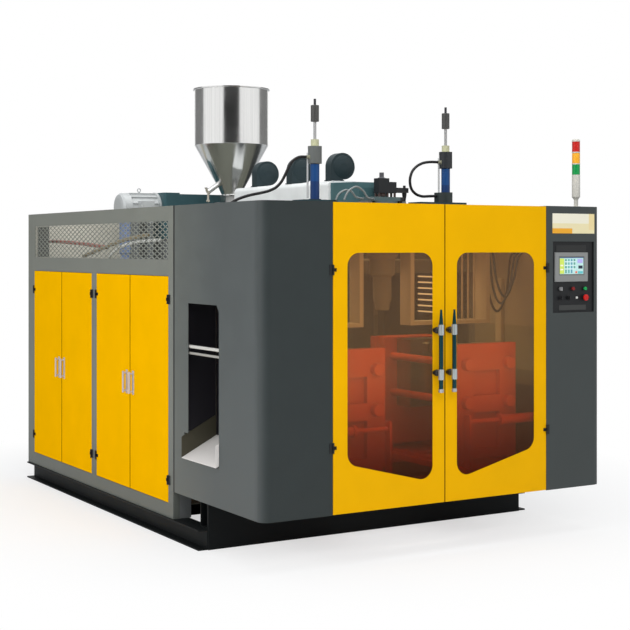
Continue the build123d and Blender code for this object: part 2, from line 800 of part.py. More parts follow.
# Die head: turned body below the deck line, toothed gap ring and actuator blocks above
ring_x = -4
ring_r = 25
arm_pin_x = 174
with BuildPart() as die_head:
    turned_z(0, mould_y, [
        (22, 1432), (45, 1432), (52, 1490), (60, 1490), (60, 1646), (82, 1660), (82, 1760),
        (100, 1780), (100, 2135), (22, 2135),
    ])
    rod_z(0, mould_y, 14, 1440, 2135)
    rod_y(0, barrel_z, 21, mould_y + 15, mould_y + 110, mode=Mode.SUBTRACT)
    block(-128, 128, mould_y - 62, mould_y + 62, 2135, 2161)
    block(-44, 36, mould_y - 30, mould_y + 30, 2188, 2283)
    block(36, 95, mould_y - 26, mould_y + 26, 2188, 2260)
    block(95, 192, mould_y - 22, mould_y + 22, 2192, 2224)
    for x in (-36, 28, 84):
        for y in (mould_y - 20, mould_y + 20):
            rod_z(x, y, 8, 2161, 2188)
    rod_z(ring_x, mould_y, 20, 2161, 2188)
    with BuildSketch(Plane.XY.offset(2167)) as ring:
        with Locations((ring_x, mould_y)):
            Circle(ring_r)
            with PolarLocations(ring_r, 20):
                Rectangle(8, 5)
    extrude(ring.sketch, amount=14)
    turned_z(arm_pin_x, mould_y, [
        (0, 2128), (7, 2128), (15, 2180), (15, 2192), (9, 2192), (9, 2240), (0, 2240),
    ])
    turned_z(ring_x, mould_y, [(0, 2283), (28, 2283), (15, 2291), (15, 2320), (0, 2320)])
finish(die_head.part, "die_head")

# Head carrier: cross plates that hang the head from the top members
with BuildPart() as head_carrier:
    front_row = mould_y - 240
    rear_row = mould_y + 240
    carrier_z = front_top_z + tube
    for side in (-1, 1):
        block(side * 116, side * 146, front_row - half_tube, rear_row + half_tube,
              carrier_z, carrier_z + 30)
        block(side * 116, side * 146, mould_y - 60, mould_y + 60, carrier_z + 30, 2135 - gap)
finish(head_carrier.part, "head_carrier")

# Extruder stand: saddles under the barrel, a gearbox plinth and a motor pad
stand_z = deck_z + deck
with BuildPart() as extruder_stand:
    for y in (-1000, 20):
        block(-90, 90, y - 10, y + 10, stand_z, barrel_z - 20)
        block(-110, 110, y - 50, y + 50, stand_z, stand_z + 12)
        block(-8, 8, y - 45, y + 45, stand_z + 12, barrel_z - 75)
    rod_y(0, barrel_z, barrel_r + weld_gap, -1150, 200, mode=Mode.SUBTRACT)
    for x in (-430, 100):
        block(x - 20, x + 20, gear_y[0] + 10, gear_y[1] + 30, stand_z, gear_z[0] - weld_gap)
    for y in (gear_y[0] + 30, gear_y[1]):
        block(-410, 80, y - 15, y + 15, stand_z, gear_z[0] - weld_gap)
    for x in (-660, -540):
        block(x - 22, x + 22, motor_y - 90, motor_y + 90, stand_z, motor_z - 118 - weld_gap)
    block(-682, -518, motor_y - 90, motor_y + 90, stand_z, stand_z + 12)
finish(extruder_stand.part, "extruder_stand")

# Blow frames: at each station a hanging frame with a pin plate and a head stool
blow_half = 325
column_t = 30
frame_y = [mould_y - 60, mould_y + 60]
hang_y = [mould_y - 240 - half_tube, mould_y + 240 + half_tube]
hang_z = front_top_z + tube + weld_gap
stations = (-station_x, station_x)
with BuildPart() as blow_frames:
    for x in stations:
        for side in (-1, 1):
            x0 = x + side * blow_half
            x1 = x + side * (blow_half - column_t)
            block(x0, x1, *frame_y, blow_plate_z, hang_z + 25)
            block(x0, x1, *hang_y, hang_z, hang_z + 25)
            block(x + side * 100, x + side * 112, *frame_y, hang_z + 50, blow_mount_z)
        block(x - blow_half, x + blow_half, *frame_y, blow_plate_z, blow_plate_z + 25)
        block(x - blow_half, x + blow_half, *frame_y, hang_z + 25, hang_z + 50)
        rod_z(x, mould_y, blow_pin_r + running, blow_plate_z, blow_plate_z + 25,
              mode=Mode.SUBTRACT)
        rod_z(x, mould_y, blow_pin_r + 3, hang_z + 25, hang_z + 50, mode=Mode.SUBTRACT)
    for x0, x1, x in ((-station_x - 118, -station_x + 118, -station_x),
                      (station_x - 250, station_x + 118, station_x)):
        block(x0, x1, mould_y - 75, mould_y + 75, blow_mount_z, blow_mount_z + 25 - 6)
        rod_z(x, mould_y, blow_pin_r + 3, blow_mount_z, blow_mount_z + 25, mode=Mode.SUBTRACT)
finish(blow_frames.part, "blow_frames")

# Blow cylinders: foot, tube, collar and gland nut, with a side rod and a hose port
mount_top = blow_mount_z + 19
blow_chamber_r = 24
stop_r = 26
with BuildPart() as blow_cylinders:
    for x in stations:
        foot_r = 39 if x < 0 else 46
        foot_top = 2140 if x < 0 else 2202
        turned_z(x, mould_y, [
            (0, mount_top), (foot_r, mount_top), (foot_r, foot_top), (29, foot_top),
            (29, 2359), (44, 2362), (44, 2471), (25.5, 2471), (25.5, 2513), (0, 2513),
        ])
        rod_z(x, mould_y, blow_pin_r + running, mount_top, 2160, mode=Mode.SUBTRACT)
        rod_z(x, mould_y, blow_chamber_r + running, 2160, 2345, mode=Mode.SUBTRACT)
        rod_z(x, mould_y, blow_rod_r + running, 2345, 2513, mode=Mode.SUBTRACT)
        rod_x(mould_y, 2402, 11, x - 64, x - 40)
        rod_z(x - 40, mould_y + 22, 6, 2145 if x < 0 else 2175, 2430)
    block(station_x - 75, station_x - 37, mould_y - 25, mould_y + 25, mount_top, 2200)
finish(blow_cylinders.part, "blow_cylinders")


def blow_rod(x):
    turned_z(x, mould_y, [
        (0, 1306), (9, 1306), (12, 1320), (12, 1326), (blow_pin_r, 1328),
        (blow_pin_r, 2285), (blow_chamber_r, 2285), (blow_chamber_r, 2320),
        (blow_rod_r, 2320), (blow_rod_r, 2625), (stop_r - 2, 2625), (stop_r, 2627),
        (stop_r, 2726), (stop_r - 2, 2728), (8, 2728), (8, 2768), (0, 2768),
    ])


with BuildPart() as blow_rod_left:
    blow_rod(-station_x)
finish(blow_rod_left.part, "blow_rod_left")

with BuildPart() as blow_rod_right:
    blow_rod(station_x)
finish(blow_rod_right.part, "blow_rod_right")

# Hydraulic hoses between the blow cylinders and their blocks
right_hose_way = [
    (122, 0, 2402), (186, 8, 2394), (248, 22, 2371), (300, 38, 2332),
    (328, 52, 2275), (320, 56, 2215), (272, 46, 2181), (208, 26, 2170),
    (160, 8, 2173), (110, 0, 2176),
]
hose_r = 9
hose_end = -post_x + 4
hose_start = -station_x - 64.2
hose_run = hose_start - hose_end
left_hose_way = [
    (0.077, 2402), (0.155, 2380), (0.208, 2337), (0.249, 2288), (0.296, 2240),
    (0.363, 2203), (0.451, 2182), (0.548, 2169), (0.649, 2158), (0.750, 2142),
    (0.844, 2120), (0.928, 2086), (0.982, 2036),
]
with BuildPart() as hydraulic_hoses:
    hose([
        (station_x - 64.2, mould_y, 2402),
        *[(station_x - back, mould_y - out, z) for back, out, z in right_hose_way],
        (station_x - 75.3, mould_y, 2176),
    ], hose_r)
    hose([
        (hose_start, mould_y, 2402),
        *[(hose_start - share * hose_run, mould_y, z) for share, z in left_hose_way],
        (hose_end, mould_y, 1980),
    ], hose_r)
    rod_z(hose_end, mould_y, 16, front_top_z + tube + weld_gap, 1988)
finish(hydraulic_hoses.part, "hydraulic_hoses")

# Mould carriages: base plate on four shoes, guide rails and the shift cylinder rod
carriage_front = -2200
carriage_rear = -860
shift_y = -2170
shift_z = 745
shift_rod_r = 14
shift_barrel_r = 30
shift_bracket = 207
rail_top = bed_z + bed_rail_h
guide_z = carriage_z + carriage_t


def carriage(x, inward):
    block(x - carriage_half, x + carriage_half, carriage_front, carriage_rear,
          carriage_z, guide_z)
    for side in (-1, 1):
        block(x + side * guide_x - 12, x + side * guide_x + 12,
              carriage_front + 90, carriage_rear - 5, guide_z, guide_z + guide_h)
        for y in bed_rail_y:
            x0 = x + side * 195 - 40
            block(x0, x0 + 80, y - 38, y + 38, bed_z + 5, carriage_z)
            block(x0 - 1, x0 + 81, y - rail_half - gap, y + rail_half + gap,
                  bed_z, rail_top + gap, mode=Mode.SUBTRACT)
    for y in (-1800, -1500, -1050):
        block(x - 110, x + 110, y - 60, y + 60, carriage_z, guide_z, mode=Mode.SUBTRACT)
    bx = x + inward * shift_bracket
    prism_x(
        [
            (carriage_front, guide_z), (-2145, guide_z), (-2145, 790),
            (carriage_front + 5, 790), (carriage_front, 760),
        ],
        bx - 8, bx + 8,
    )
    rod_x(shift_y, shift_z, shift_rod_r, bx, x - inward * 570)
    rod_x(shift_y, shift_z, 22 - running, x - inward * 570, x - inward * 590)


with BuildPart() as carriage_left:
    carriage(-station_x, 1)
finish(carriage_left.part, "carriage_left")

with BuildPart() as carriage_right:
    carriage(station_x, -1)
finish(carriage_right.part, "carriage_right")

# Shift cylinders: barrels bracketed to the front posts
shift_end = inner_x - 25
with BuildPart() as shift_cylinders:
    for side in (-1, 1):
        x_out = side * (inner_x - weld_gap)
        x_in = side * 540
        rod_x(shift_y, shift_z, shift_barrel_r, side * shift_end, x_in)
        for x in (side * shift_end, side * 560):
            rod_x(shift_y, shift_z, 38, x, x - side * 20)
        block(x_out, side * shift_end, shift_y - 95, shift_y + 35, 700, 790)
        rod_x(shift_y, shift_z, 22, side * (shift_end + 3), side * 565, mode=Mode.SUBTRACT)
        rod_x(shift_y, shift_z, shift_rod_r + running, side * 565, x_in, mode=Mode.SUBTRACT)
finish(shift_cylinders.part, "shift_cylinders")

# Clamp frames: front platen, tie bars with nuts, rear yoke and clamp cylinder
front_mould_y = mould_y - mould_open - mould_depth
rear_mould_y = mould_y + mould_open + mould_depth
front_platen_y = front_mould_y - platen_t
rear_platen_y = rear_mould_y + platen_t
shoe_z = guide_z + 3


def platen(x, y0, y1):
    block(x - platen_half, x + platen_half, y0, y1, platen_low, platen_high)
    for side in (-1, 1):
        xg = x + side * guide_x
        block(xg - 28, xg + 28, y0, y1, shoe_z, platen_low)
        block(xg - 12 - gap, xg + 12 + gap, y0 - 1, y1 + 1,
              guide_z, guide_z + guide_h + gap, mode=Mode.SUBTRACT)
        for z in bar_z:
            rod_y(x + side * bar_x, z, bar_r + running, y0, y1, mode=Mode.SUBTRACT)


def clamp_frame(x):
    platen(x, front_platen_y, front_mould_y)
    for z0, z1 in ((560, 790), (895, 1055)):
        block(x - 105, x + 105, front_platen_y, front_platen_y + 35, z0, z1,
              mode=Mode.SUBTRACT)
    y0 = yoke_y - platen_t / 2
    y1 = yoke_y + platen_t / 2
    platen(x, y0, y1)
    rod_y(x, clamp_z, clamp_rod_r + running, y0, y1, mode=Mode.SUBTRACT)
    turned_y(x, clamp_z, [
        (50, y1), (90, y1), (90, y1 + 25), (65, y1 + 25), (65, -600), (72, -600),
        (72, -575), (0, -575), (0, -595), (50, -595),
    ])


def tie_bars(x):
    y0 = front_platen_y - weld_gap
    y1 = yoke_y + platen_t / 2 + weld_gap
    for side in (-1, 1):
        for z in bar_z:
            turned_y(x + side * bar_x, z, [
                (0, y0 - nut_t), (nut_r - 4, y0 - nut_t), (nut_r, y0 - nut_t + 5),
                (nut_r, y0), (bar_r, y0), (bar_r, y1), (nut_r, y1), (nut_r, y1 + 40),
                (0, y1 + 40),
            ])


with BuildPart() as clamp_frame_left:
    clamp_frame(-station_x)
    tie_bars(-station_x)
finish(clamp_frame_left.part, "clamp_frame_left")

with BuildPart() as clamp_frame_right:
    clamp_frame(station_x)
    tie_bars(station_x)
finish(clamp_frame_right.part, "clamp_frame_right")


# Rear platens: sliding plate with the clamp piston rod
def rear_platen(x):
    platen(x, rear_mould_y, rear_platen_y)
    turned_y(x, clamp_z, [
        (0, rear_platen_y), (70, rear_platen_y), (70, rear_platen_y + 20),
        (clamp_rod_r, rear_platen_y + 20), (clamp_rod_r, -640), (50 - running, -640),
        (50 - running, -600), (0, -600),
    ])


with BuildPart() as rear_platen_left:
    rear_platen(-station_x)
finish(rear_platen_left.part, "rear_platen_left")

with BuildPart() as rear_platen_right:
    rear_platen(station_x)
finish(rear_platen_right.part, "rear_platen_right")

# Moulds: halves with a container cavity whose axis lies in the parting face
bottle = [
    (0, 810), (78, 810), (88, 826), (88, 1040), (70, 1090), (26, 1130), (26, 1180),
    (34, 1190), (34, mould_high), (0, mould_high),
]


def mould(x, y_back, y_face):
    block(x - mould_half, x + mould_half, y_back, y_face, mould_low, mould_high)
    hand = 1 if y_face > y_back else -1
    turned_z(x, y_face, bottle, mode=Mode.SUBTRACT)
    for side in (-1, 1):
        for z in (790, 1150):
            xp = x + side * 112
            if hand > 0:
                rod_y(xp, z, 8, y_face - 20, y_face, mode=Mode.SUBTRACT)
            else:
                rod_y(xp, z, 7.5, y_face, y_face + 30)


with BuildPart() as front_mould_left:
    mould(-station_x, front_mould_y, front_mould_y + mould_depth)
finish(front_mould_left.part, "front_mould_left")

with BuildPart() as front_mould_right:
    mould(station_x, front_mould_y, front_mould_y + mould_depth)
finish(front_mould_right.part, "front_mould_right")

with BuildPart() as rear_mould_left:
    mould(-station_x, rear_mould_y, rear_mould_y - mould_depth)
finish(rear_mould_left.part, "rear_mould_left")

with BuildPart() as rear_mould_right:
    mould(station_x, rear_mould_y, rear_mould_y - mould_depth)
finish(rear_mould_right.part, "rear_mould_right")

# Control box in the recess of the right column
face_y = front_y + 10
box_depth = 50
bezel_x = [recess_x[0] + 21, recess_x[0] + 295]
bezel_z = [1618, 1804]
screen_x = [bezel_x[0] + 37, bezel_x[1] - 35]
screen_z = [1665, 1773]
button_bore = 8
row_z = [1572, 1514]
selector_x = screen_x[0] + 8
start_x = screen_x[1] + 9
selector_spots = [(selector_x, row_z[0]), (selector_x, row_z[1]), (selector_x + 67, row_z[1])]
stop_spot = (selector_x + 101, row_z[0])
start_spot = (start_x, row_z[0])
emergency_spot = (start_x, row_z[1])
lamp_spot = (start_x - 64, row_z[1])
with BuildPart() as control_box:
    block(recess_x[0] + 1, recess_x[1] - 1, face_y, face_y + box_depth, recess_z[0] + 1,
          recess_z[1] - 1)
    block(recess_x[0] + 3, recess_x[1] - 3, face_y + 4, face_y + box_depth - 2,
          recess_z[0] + 3, recess_z[1] - 3, mode=Mode.SUBTRACT)
    block(recess_x[0] - 20, recess_x[1] + 2, front_y + sheet + weld_gap, face_y + 4,
          recess_z[0] - 15, recess_z[1] + 15)
    block(recess_x[0] + 1, recess_x[1] - 1, front_y + 2, face_y + 0, recess_z[0] + 1,
          recess_z[1] - 1, mode=Mode.SUBTRACT)
    block(*bezel_x, front_y + 1, face_y, *bezel_z)
    block(*screen_x, front_y, face_y - 2, *screen_z, mode=Mode.SUBTRACT)
    block(bezel_x[0] + 12, bezel_x[1] - 12, face_y - 3, face_y, bezel_z[1] + 4,
          bezel_z[1] + 46)
    block(screen_x[0], bezel_x[1] - 11, face_y - 2, face_y, 1435, 1467)
    rod_y(*lamp_spot, 7, face_y - 7, face_y)
    for spot in selector_spots + [stop_spot, start_spot, emergency_spot]:
        rod_y(*spot, 15, face_y - 4, face_y)
    for spot in selector_spots + [stop_spot, start_spot, emergency_spot]:
        rod_y(*spot, button_bore + running, face_y - 4, face_y + 4, mode=Mode.SUBTRACT)
finish(control_box.part, "control_box")

with BuildPart() as screen:
    block(screen_x[0] + gap, screen_x[1] - gap, face_y - 6, face_y - 2 - 0.1,
          screen_z[0] + gap, screen_z[1] - gap)
finish(screen.part, "screen")


# Controls: turned heads on stems that run in the panel bores
def control_stem(spot, profile):
    stem = [(0, face_y + 14), (button_bore, face_y + 14), (button_bore, face_y - 10)]
    turned_y(*spot, stem + profile)


press = 4
with BuildPart() as emergency_stop:
    control_stem(emergency_spot, [
        (12, face_y - 10), (20, face_y - 16), (20, face_y - 24), (15, face_y - 28),
        (0, face_y - 29),
    ])
finish(emergency_stop.part, "emergency_stop")

with BuildPart() as start_button:
    control_stem(start_spot, [
        (11.5, face_y - 10), (11.5, face_y - 18), (10, face_y - 20), (0, face_y - 20),
    ])
finish(start_button.part, "start_button")

with BuildPart() as stop_button:
    control_stem(stop_spot, [
        (11.5, face_y - 10), (11.5, face_y - 18), (10, face_y - 20), (0, face_y - 20),
    ])
finish(stop_button.part, "stop_button")


def selector(spot):
    control_stem(spot, [(12, face_y - 10), (12, face_y - 14), (0, face_y - 14)])
    block(spot[0] - 3, spot[0] + 3, face_y - 23, face_y - 13, spot[1] - 12, spot[1] + 12)
    rod_y(*spot, 11, face_y - 10, face_y - 4 - gap)


with BuildPart() as mode_selector:
    selector(selector_spots[0])
finish(mode_selector.part, "mode_selector")

with BuildPart() as shift_selector:
    selector(selector_spots[1])
finish(shift_selector.part, "shift_selector")

with BuildPart() as clamp_selector:
    selector(selector_spots[2])
finish(clamp_selector.part, "clamp_selector")

# Signal tower on the roof of the right column
tower_x = half_width - 79
tower_y = front_y + 150
lens_z = [top_z + 214, top_z + 288, top_z + 364]
lens_h = 67
lens_top = lens_z[-1] + lens_h + gap
with BuildPart() as tower_body:
    turned_z(tower_x, tower_y, [
        (0, top_z), (30, top_z), (30, top_z + 6), (14, top_z + 6), (14, top_z + 51), (27, top_z + 68),
        (27, lens_z[0] - gap), (0, lens_z[0] - gap),
    ])
    for z in lens_z[1:]:
        rod_z(tower_x, tower_y, 27, z - 7, z - gap)
    turned_z(tower_x, tower_y, [
        (0, lens_top), (27, lens_top), (27, lens_top + 9), (22, lens_top + 16),
        (0, lens_top + 16),
    ])
    rod_z(tower_x, tower_y, 6, top_z + 100, lens_top + 4)
finish(tower_body.part, "tower_body")

with BuildPart() as tower_lenses:
    for z in lens_z:
        rod_z(tower_x, tower_y, 26, z, z + lens_h - gap)
        rod_z(tower_x, tower_y, 6 + gap, z, z + lens_h - gap, mode=Mode.SUBTRACT)
finish(tower_lenses.part, "tower_lenses")

# Discharge chute: sloping tray with side walls, a panel behind it and two guard bars
bar_x0 = -half_width + sheet
tray_out = -half_width - 20
tray_in = -half_width + 0.52 * (half_width - station_x - blow_half)
tray_low = 535
tray_high = 657
wall_h = 132
tray_y = [chute_front + 0.5, chute_low_back - 0.5]
with BuildPart() as discharge_chute:
    prism_y(
        [
            (tray_out, tray_low), (tray_in, tray_high), (tray_in, tray_high + wall_h),
            (tray_out, tray_low + wall_h),
        ],
        *tray_y,
    )
    prism_y(
        [
            (tray_out - 1, tray_low + sheet), (tray_in + 1, tray_high + sheet + 1),
            (tray_in + 1, tray_high + wall_h + 9), (tray_out - 1, tray_low + wall_h + 9),
        ],
        tray_y[0] + sheet, tray_y[1] - sheet, mode=Mode.SUBTRACT,
    )
    block(tray_in + weld_gap, tray_in + 4, *tray_y, tray_high - 40, 1110)
    block(tray_in + weld_gap, tray_in + 4, *tray_y, 1114, 1540)
    for y in (tray_y[0] + 10, tray_y[1] - 30):
        block(tray_in + 4, tray_in + 8, y, y + 20, 640, 1535)
    for z, radius in ((1226, 10), (1185, 8)):
        rod_y(bar_x0 + 16, z, radius, chute_front - 30, chute_back + 30)
    for y in (chute_front - 40, chute_back + 22):
        block(bar_x0 + weld_gap, bar_x0 + 24, y, y + 18, 1168, 1244)
finish(discharge_chute.part, "discharge_chute")

# Electrical plate with rows of terminals on the left inner wall
with BuildPart() as electrical_plate:
    block(-inner_x + weld_gap, -inner_x + 4, front_post_y, seam_y - 1, 1500, 1850)
    for z in (1560, 1660, 1760):
        for y in range(-2080, -1300, 120):
            block(-inner_x + 4, -inner_x + 44, y, y + 90, z, z + 55)
finish(electrical_plate.part, "electrical_plate")

# Hydraulic unit: oil tank, lid, motor, pump and valve block behind the partition,
# and an accumulator on the deck behind the vent mesh
tank_x = [-560, 560]
tank_y = [320, 1240]
tank_z = [floor_z + 4, 700]
with BuildPart() as hydraulic_unit:
    block(*tank_x, *tank_y, tank_z[0] + 60, tank_z[1])
    for x in (tank_x[0] + 60, tank_x[1] - 60):
        block(x - 30, x + 30, *tank_y, tank_z[0], tank_z[0] + 60)
    block(tank_x[0] - 10, tank_x[1] + 10, tank_y[0] - 10, tank_y[1] + 10, tank_z[1],
          tank_z[1] + 12)
    block(-330, 60, 420, 640, tank_z[1] + 12, tank_z[1] + 55)
    rod_x(530, 860, 115, -330, 20)
    rod_x(530, 860, 60, 20, 90)
    block(90, 250, 460, 600, 790, 930)
    block(300, 500, 700, 1100, tank_z[1] + 12, 900)
    for y in (760, 880, 1000):
        block(340, 460, y - 30, y + 30, 900, 970)
    rod_z(-300, 1000, 55, tank_z[1] + 12, 860)
    turned_z(-half_width + 195, 60, [
        (0, stand_z), (45, stand_z), (45, stand_z + 10), (30, stand_z + 10),
        (30, stand_z + 40), (40, stand_z + 50), (40, stand_z + 270), (25, stand_z + 300),
        (8, stand_z + 305), (8, stand_z + 325), (0, stand_z + 325),
    ])
finish(hydraulic_unit.part, "hydraulic_unit")
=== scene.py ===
import json
import math

import bpy
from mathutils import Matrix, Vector


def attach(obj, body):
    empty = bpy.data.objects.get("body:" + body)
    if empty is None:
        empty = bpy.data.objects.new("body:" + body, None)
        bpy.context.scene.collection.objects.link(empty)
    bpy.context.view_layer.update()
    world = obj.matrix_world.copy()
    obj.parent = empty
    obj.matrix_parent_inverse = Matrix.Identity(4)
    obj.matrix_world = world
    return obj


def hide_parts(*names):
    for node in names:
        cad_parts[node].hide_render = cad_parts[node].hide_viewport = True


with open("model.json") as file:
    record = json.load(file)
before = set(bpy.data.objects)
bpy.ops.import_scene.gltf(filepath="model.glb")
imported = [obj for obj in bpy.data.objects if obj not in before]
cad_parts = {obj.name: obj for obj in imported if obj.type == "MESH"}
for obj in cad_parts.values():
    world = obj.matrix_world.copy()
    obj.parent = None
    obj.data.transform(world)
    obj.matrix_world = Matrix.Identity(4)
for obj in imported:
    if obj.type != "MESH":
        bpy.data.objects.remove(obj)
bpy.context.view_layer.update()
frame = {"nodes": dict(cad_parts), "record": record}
nodes = frame["nodes"]
scene = bpy.context.scene
scene.view_settings.view_transform = "Standard"
scene.view_settings.look = "None"

# Camera: level, solved from the straight edges of the casing in the photo
CAMERA_PLACE = (-4.896, -8.976, 1.831)
CAMERA_LEVEL = 90
CAMERA_YAW = -30.95
CAMERA_SENSOR = 36
CAMERA_LENS = 77.8
CAMERA_SHIFT = -0.1059
CAMERA_REACH = 60


def linked(name, data):
    """A new object in the scene."""
    made = bpy.data.objects.new(name, data)
    scene.collection.objects.link(made)
    return made


camera_data = bpy.data.cameras.new("camera")
camera_data.sensor_width = CAMERA_SENSOR
camera_data.lens = CAMERA_LENS
camera_data.shift_y = CAMERA_SHIFT
camera_data.clip_end = CAMERA_REACH
camera_data.dof.use_dof = False
camera = linked("camera", camera_data)
camera.location = CAMERA_PLACE
camera.rotation_euler = (math.radians(CAMERA_LEVEL), 0, math.radians(CAMERA_YAW))
scene.camera = camera

# Node helpers
# Most values of a noise texture lie between these two
NOISE_LOW = 0.3
NOISE_HIGH = 0.7
# Outputs of a node that separates x, y and z
Y_AXIS = 1
Z_AXIS = 2
# Sockets of a Mix node that mixes colours
MIX_FACTOR = 0
MIX_A = 6
MIX_B = 7
MIX_RESULT = 2


def add(tree, kind, **values):
    """A new node with the inputs or settings that are named."""
    node = tree.nodes.new(kind)
    for key, value in values.items():
        if key in node.inputs:
            node.inputs[key].default_value = value
        else:
            setattr(node, key, value)
    return node


def ranged(tree, value, start, end, low=0.0, high=1.0):
    """The value, with start to end spread over low to high."""
    node = add(tree, "ShaderNodeMapRange")
    limits = {"From Min": start, "From Max": end, "To Min": low, "To Max": high}
    for key, limit in limits.items():
        node.inputs[key].default_value = limit
    tree.links.new(value, node.inputs["Value"])
    return node.outputs[0]


def mapped(tree, value, low, high):
    """A noise value spread over low to high."""
    return ranged(tree, value, NOISE_LOW, NOISE_HIGH, low, high)


def ramp(tree, value, stops, blend="LINEAR"):
    """A colour for each value: stops are (value from 0 to 1, colour)."""
    node = add(tree, "ShaderNodeValToRGB")
    node.color_ramp.interpolation = blend
    marks = node.color_ramp.elements
    while len(marks) > 1:
        marks.remove(marks[-1])
    marks[0].position = stops[0][0]
    marks[0].color = (*stops[0][1], 1)
    for position, color in stops[1:]:
        mark = marks.new(position)
        mark.color = (*color, 1)
    tree.links.new(value, node.inputs["Fac"])
    return node.outputs["Color"]


def multiplied(tree, first, second):
    times = add(tree, "ShaderNodeMath", operation="MULTIPLY")
    tree.links.new(first, times.inputs[0])
    tree.links.new(second, times.inputs[1])
    return times.outputs[0]


def mixed_shader(tree, share, first, second):
    """Two shaders mixed, with share the part of the second."""
    mix = add(tree, "ShaderNodeMixShader")
    tree.links.new(share, mix.inputs[0])
    tree.links.new(first.outputs[0], mix.inputs[1])
    tree.links.new(second.outputs[0], mix.inputs[2])
    return mix.outputs[0]


# World: white where it is seen, softer where it only lights
world = bpy.data.worlds.new("studio")
scene.world = world
world.use_nodes = True
studio = world.node_tree
studio.nodes.clear()
rays = add(studio, "ShaderNodeLightPath")
seen = rays.outputs["Is Camera Ray"]
for kind in ("Is Glossy Ray", "Is Transmission Ray"):
    either = add(studio, "ShaderNodeMath", operation="MAXIMUM")
    studio.links.new(seen, either.inputs[0])
    studio.links.new(rays.outputs[kind], either.inputs[1])
    seen = either.outputs[0]
soft = add(studio, "ShaderNodeBackground", Color=(0.93, 0.96, 1.0, 1), Strength=0.5)
white = add(studio, "ShaderNodeBackground", Color=(1, 1, 1, 1), Strength=1.0)
world_out = add(studio, "ShaderNodeOutputWorld")
studio.links.new(mixed_shader(studio, seen, soft, white), world_out.inputs[0])


# Lamps: place, target, size in metres and power in watts
def area_light(name, place, target, size, power):
    data = bpy.data.lights.new(name, "AREA")
    data.shape = "RECTANGLE"
    data.size, data.size_y = size
    data.energy = power
    lamp = linked(name, data)
    lamp.location = place
    aim = Vector(target) - Vector(place)
    lamp.rotation_euler = aim.to_track_quat("-Z", "Y").to_euler()
    lamp.visible_camera = False
    lamp.visible_glossy = name == "top"


area_light("key", (-3.5, -9.5, 5.5), (0, -1.5, 1.2), (5, 4), 310)
area_light("side", (-9.5, -2.5, 4.0), (0, 0, 1.2), (5, 4), 285)
area_light("top", (0, -1, 7.5), (0, 0, 1), (6, 7), 230)
area_light("inside front", (0, -2.28, 1.32), (0, -1.0, 1.32), (1.5, 1.3), 5.2)
area_light("inside rear", (0.1, -1.26, 1.68), (0.1, -1.45, 0.8), (1.5, 0.2), 7)
area_light("inside vent", (-0.95, 0.95, 2.03), (-0.85, 1.50, 1.85), (0.3, 0.3), 2.0)

# Material builders
PAINT_SHINE = 0.28
BARE_SHINE = 0.5
RELIEF = 0.0004
FINE_RELIEF = 0.0003
EDGE_SAMPLES = 4
# How far the roughness goes below and above its value
PAINT_WEAR = (-0.05, 0.06)
BARE_WEAR = (-0.06, 0.08)
EVEN_WEAR = (-0.05, 0.05)
# Length of the last band of a banded paint, and its edge radius
BAND_TAIL = 0.01
BAND_EDGE = 0.0015
# Heights of the foot and the head of the amber panes, the middle as a share between
# them, and the share of haze in the glass
PANE_FOOT = 0.45
PANE_HEAD = 1.85
PANE_MIDDLE = 0.45
PANE_HAZE = (0.20, 0.25)


def shader(name):
    made = bpy.data.materials.new(name)
    made.use_nodes = True
    tree = made.node_tree
    return made, tree, tree.nodes["Principled BSDF"]


def object_point(tree, scale=(1, 1, 1)):
    place = add(tree, "ShaderNodeTexCoord")
    mapping = add(tree, "ShaderNodeMapping", Scale=scale)
    tree.links.new(place.outputs["Object"], mapping.inputs["Vector"])
    return mapping.outputs["Vector"]


def axes(tree, point):
    """The x, y and z of a point."""
    split = add(tree, "ShaderNodeSeparateXYZ")
    tree.links.new(point, split.inputs[0])
    return split.outputs


def noise(tree, point, scale, detail):
    node = add(tree, "ShaderNodeTexNoise", Scale=scale, Detail=detail)
    tree.links.new(point, node.inputs["Vector"])
    return node.outputs["Fac"]


def tinted(tree, value, color, spread):
    """A colour that a noise value turns darker and paler by the spread."""
    dark = [c * (1 - spread) for c in color]
    pale = [min(c * (1 + spread), 1) for c in color]
    return ramp(tree, value, [(NOISE_LOW, dark), (NOISE_HIGH, pale)])


def surfaced(tree, bsdf, color, broad, rough, wear, metal=0.0, shine=PAINT_SHINE):
    """A colour from nodes, a roughness that follows a broad noise, metal and shine."""
    worn = mapped(tree, broad, rough + wear[0], rough + wear[1])
    tree.links.new(color, bsdf.inputs["Base Color"])
    tree.links.new(worn, bsdf.inputs["Roughness"])
    bsdf.inputs["Metallic"].default_value = metal
    bsdf.inputs["Specular IOR Level"].default_value = shine


def bumped(tree, bsdf, value, strength, distance, edge):
    """Relief from a noise value, and edges rounded by the edge radius."""
    bump = add(tree, "ShaderNodeBump", Strength=strength, Distance=distance)
    tree.links.new(value, bump.inputs["Height"])
    if edge:
        round_edge = add(tree, "ShaderNodeBevel", samples=EDGE_SAMPLES, Radius=edge)
        tree.links.new(round_edge.outputs["Normal"], bump.inputs["Normal"])
    tree.links.new(bump.outputs["Normal"], bsdf.inputs["Normal"])


def paint(name, color, rough=0.42, spread=0.05, grain=260.0, bump=0.12, edge=0.002,
          metal=0.0, shine=PAINT_SHINE):
    """Paint of one colour."""
    made, tree, bsdf = shader(name)
    point = object_point(tree)
    broad = noise(tree, point, scale=2.5, detail=4.0)
    fine = noise(tree, point, scale=grain, detail=2.0)
    color = tinted(tree, broad, color, spread)
    surfaced(tree, bsdf, color, broad, rough, PAINT_WEAR, metal, shine)
    bumped(tree, bsdf, fine, bump, RELIEF, edge)
    return made


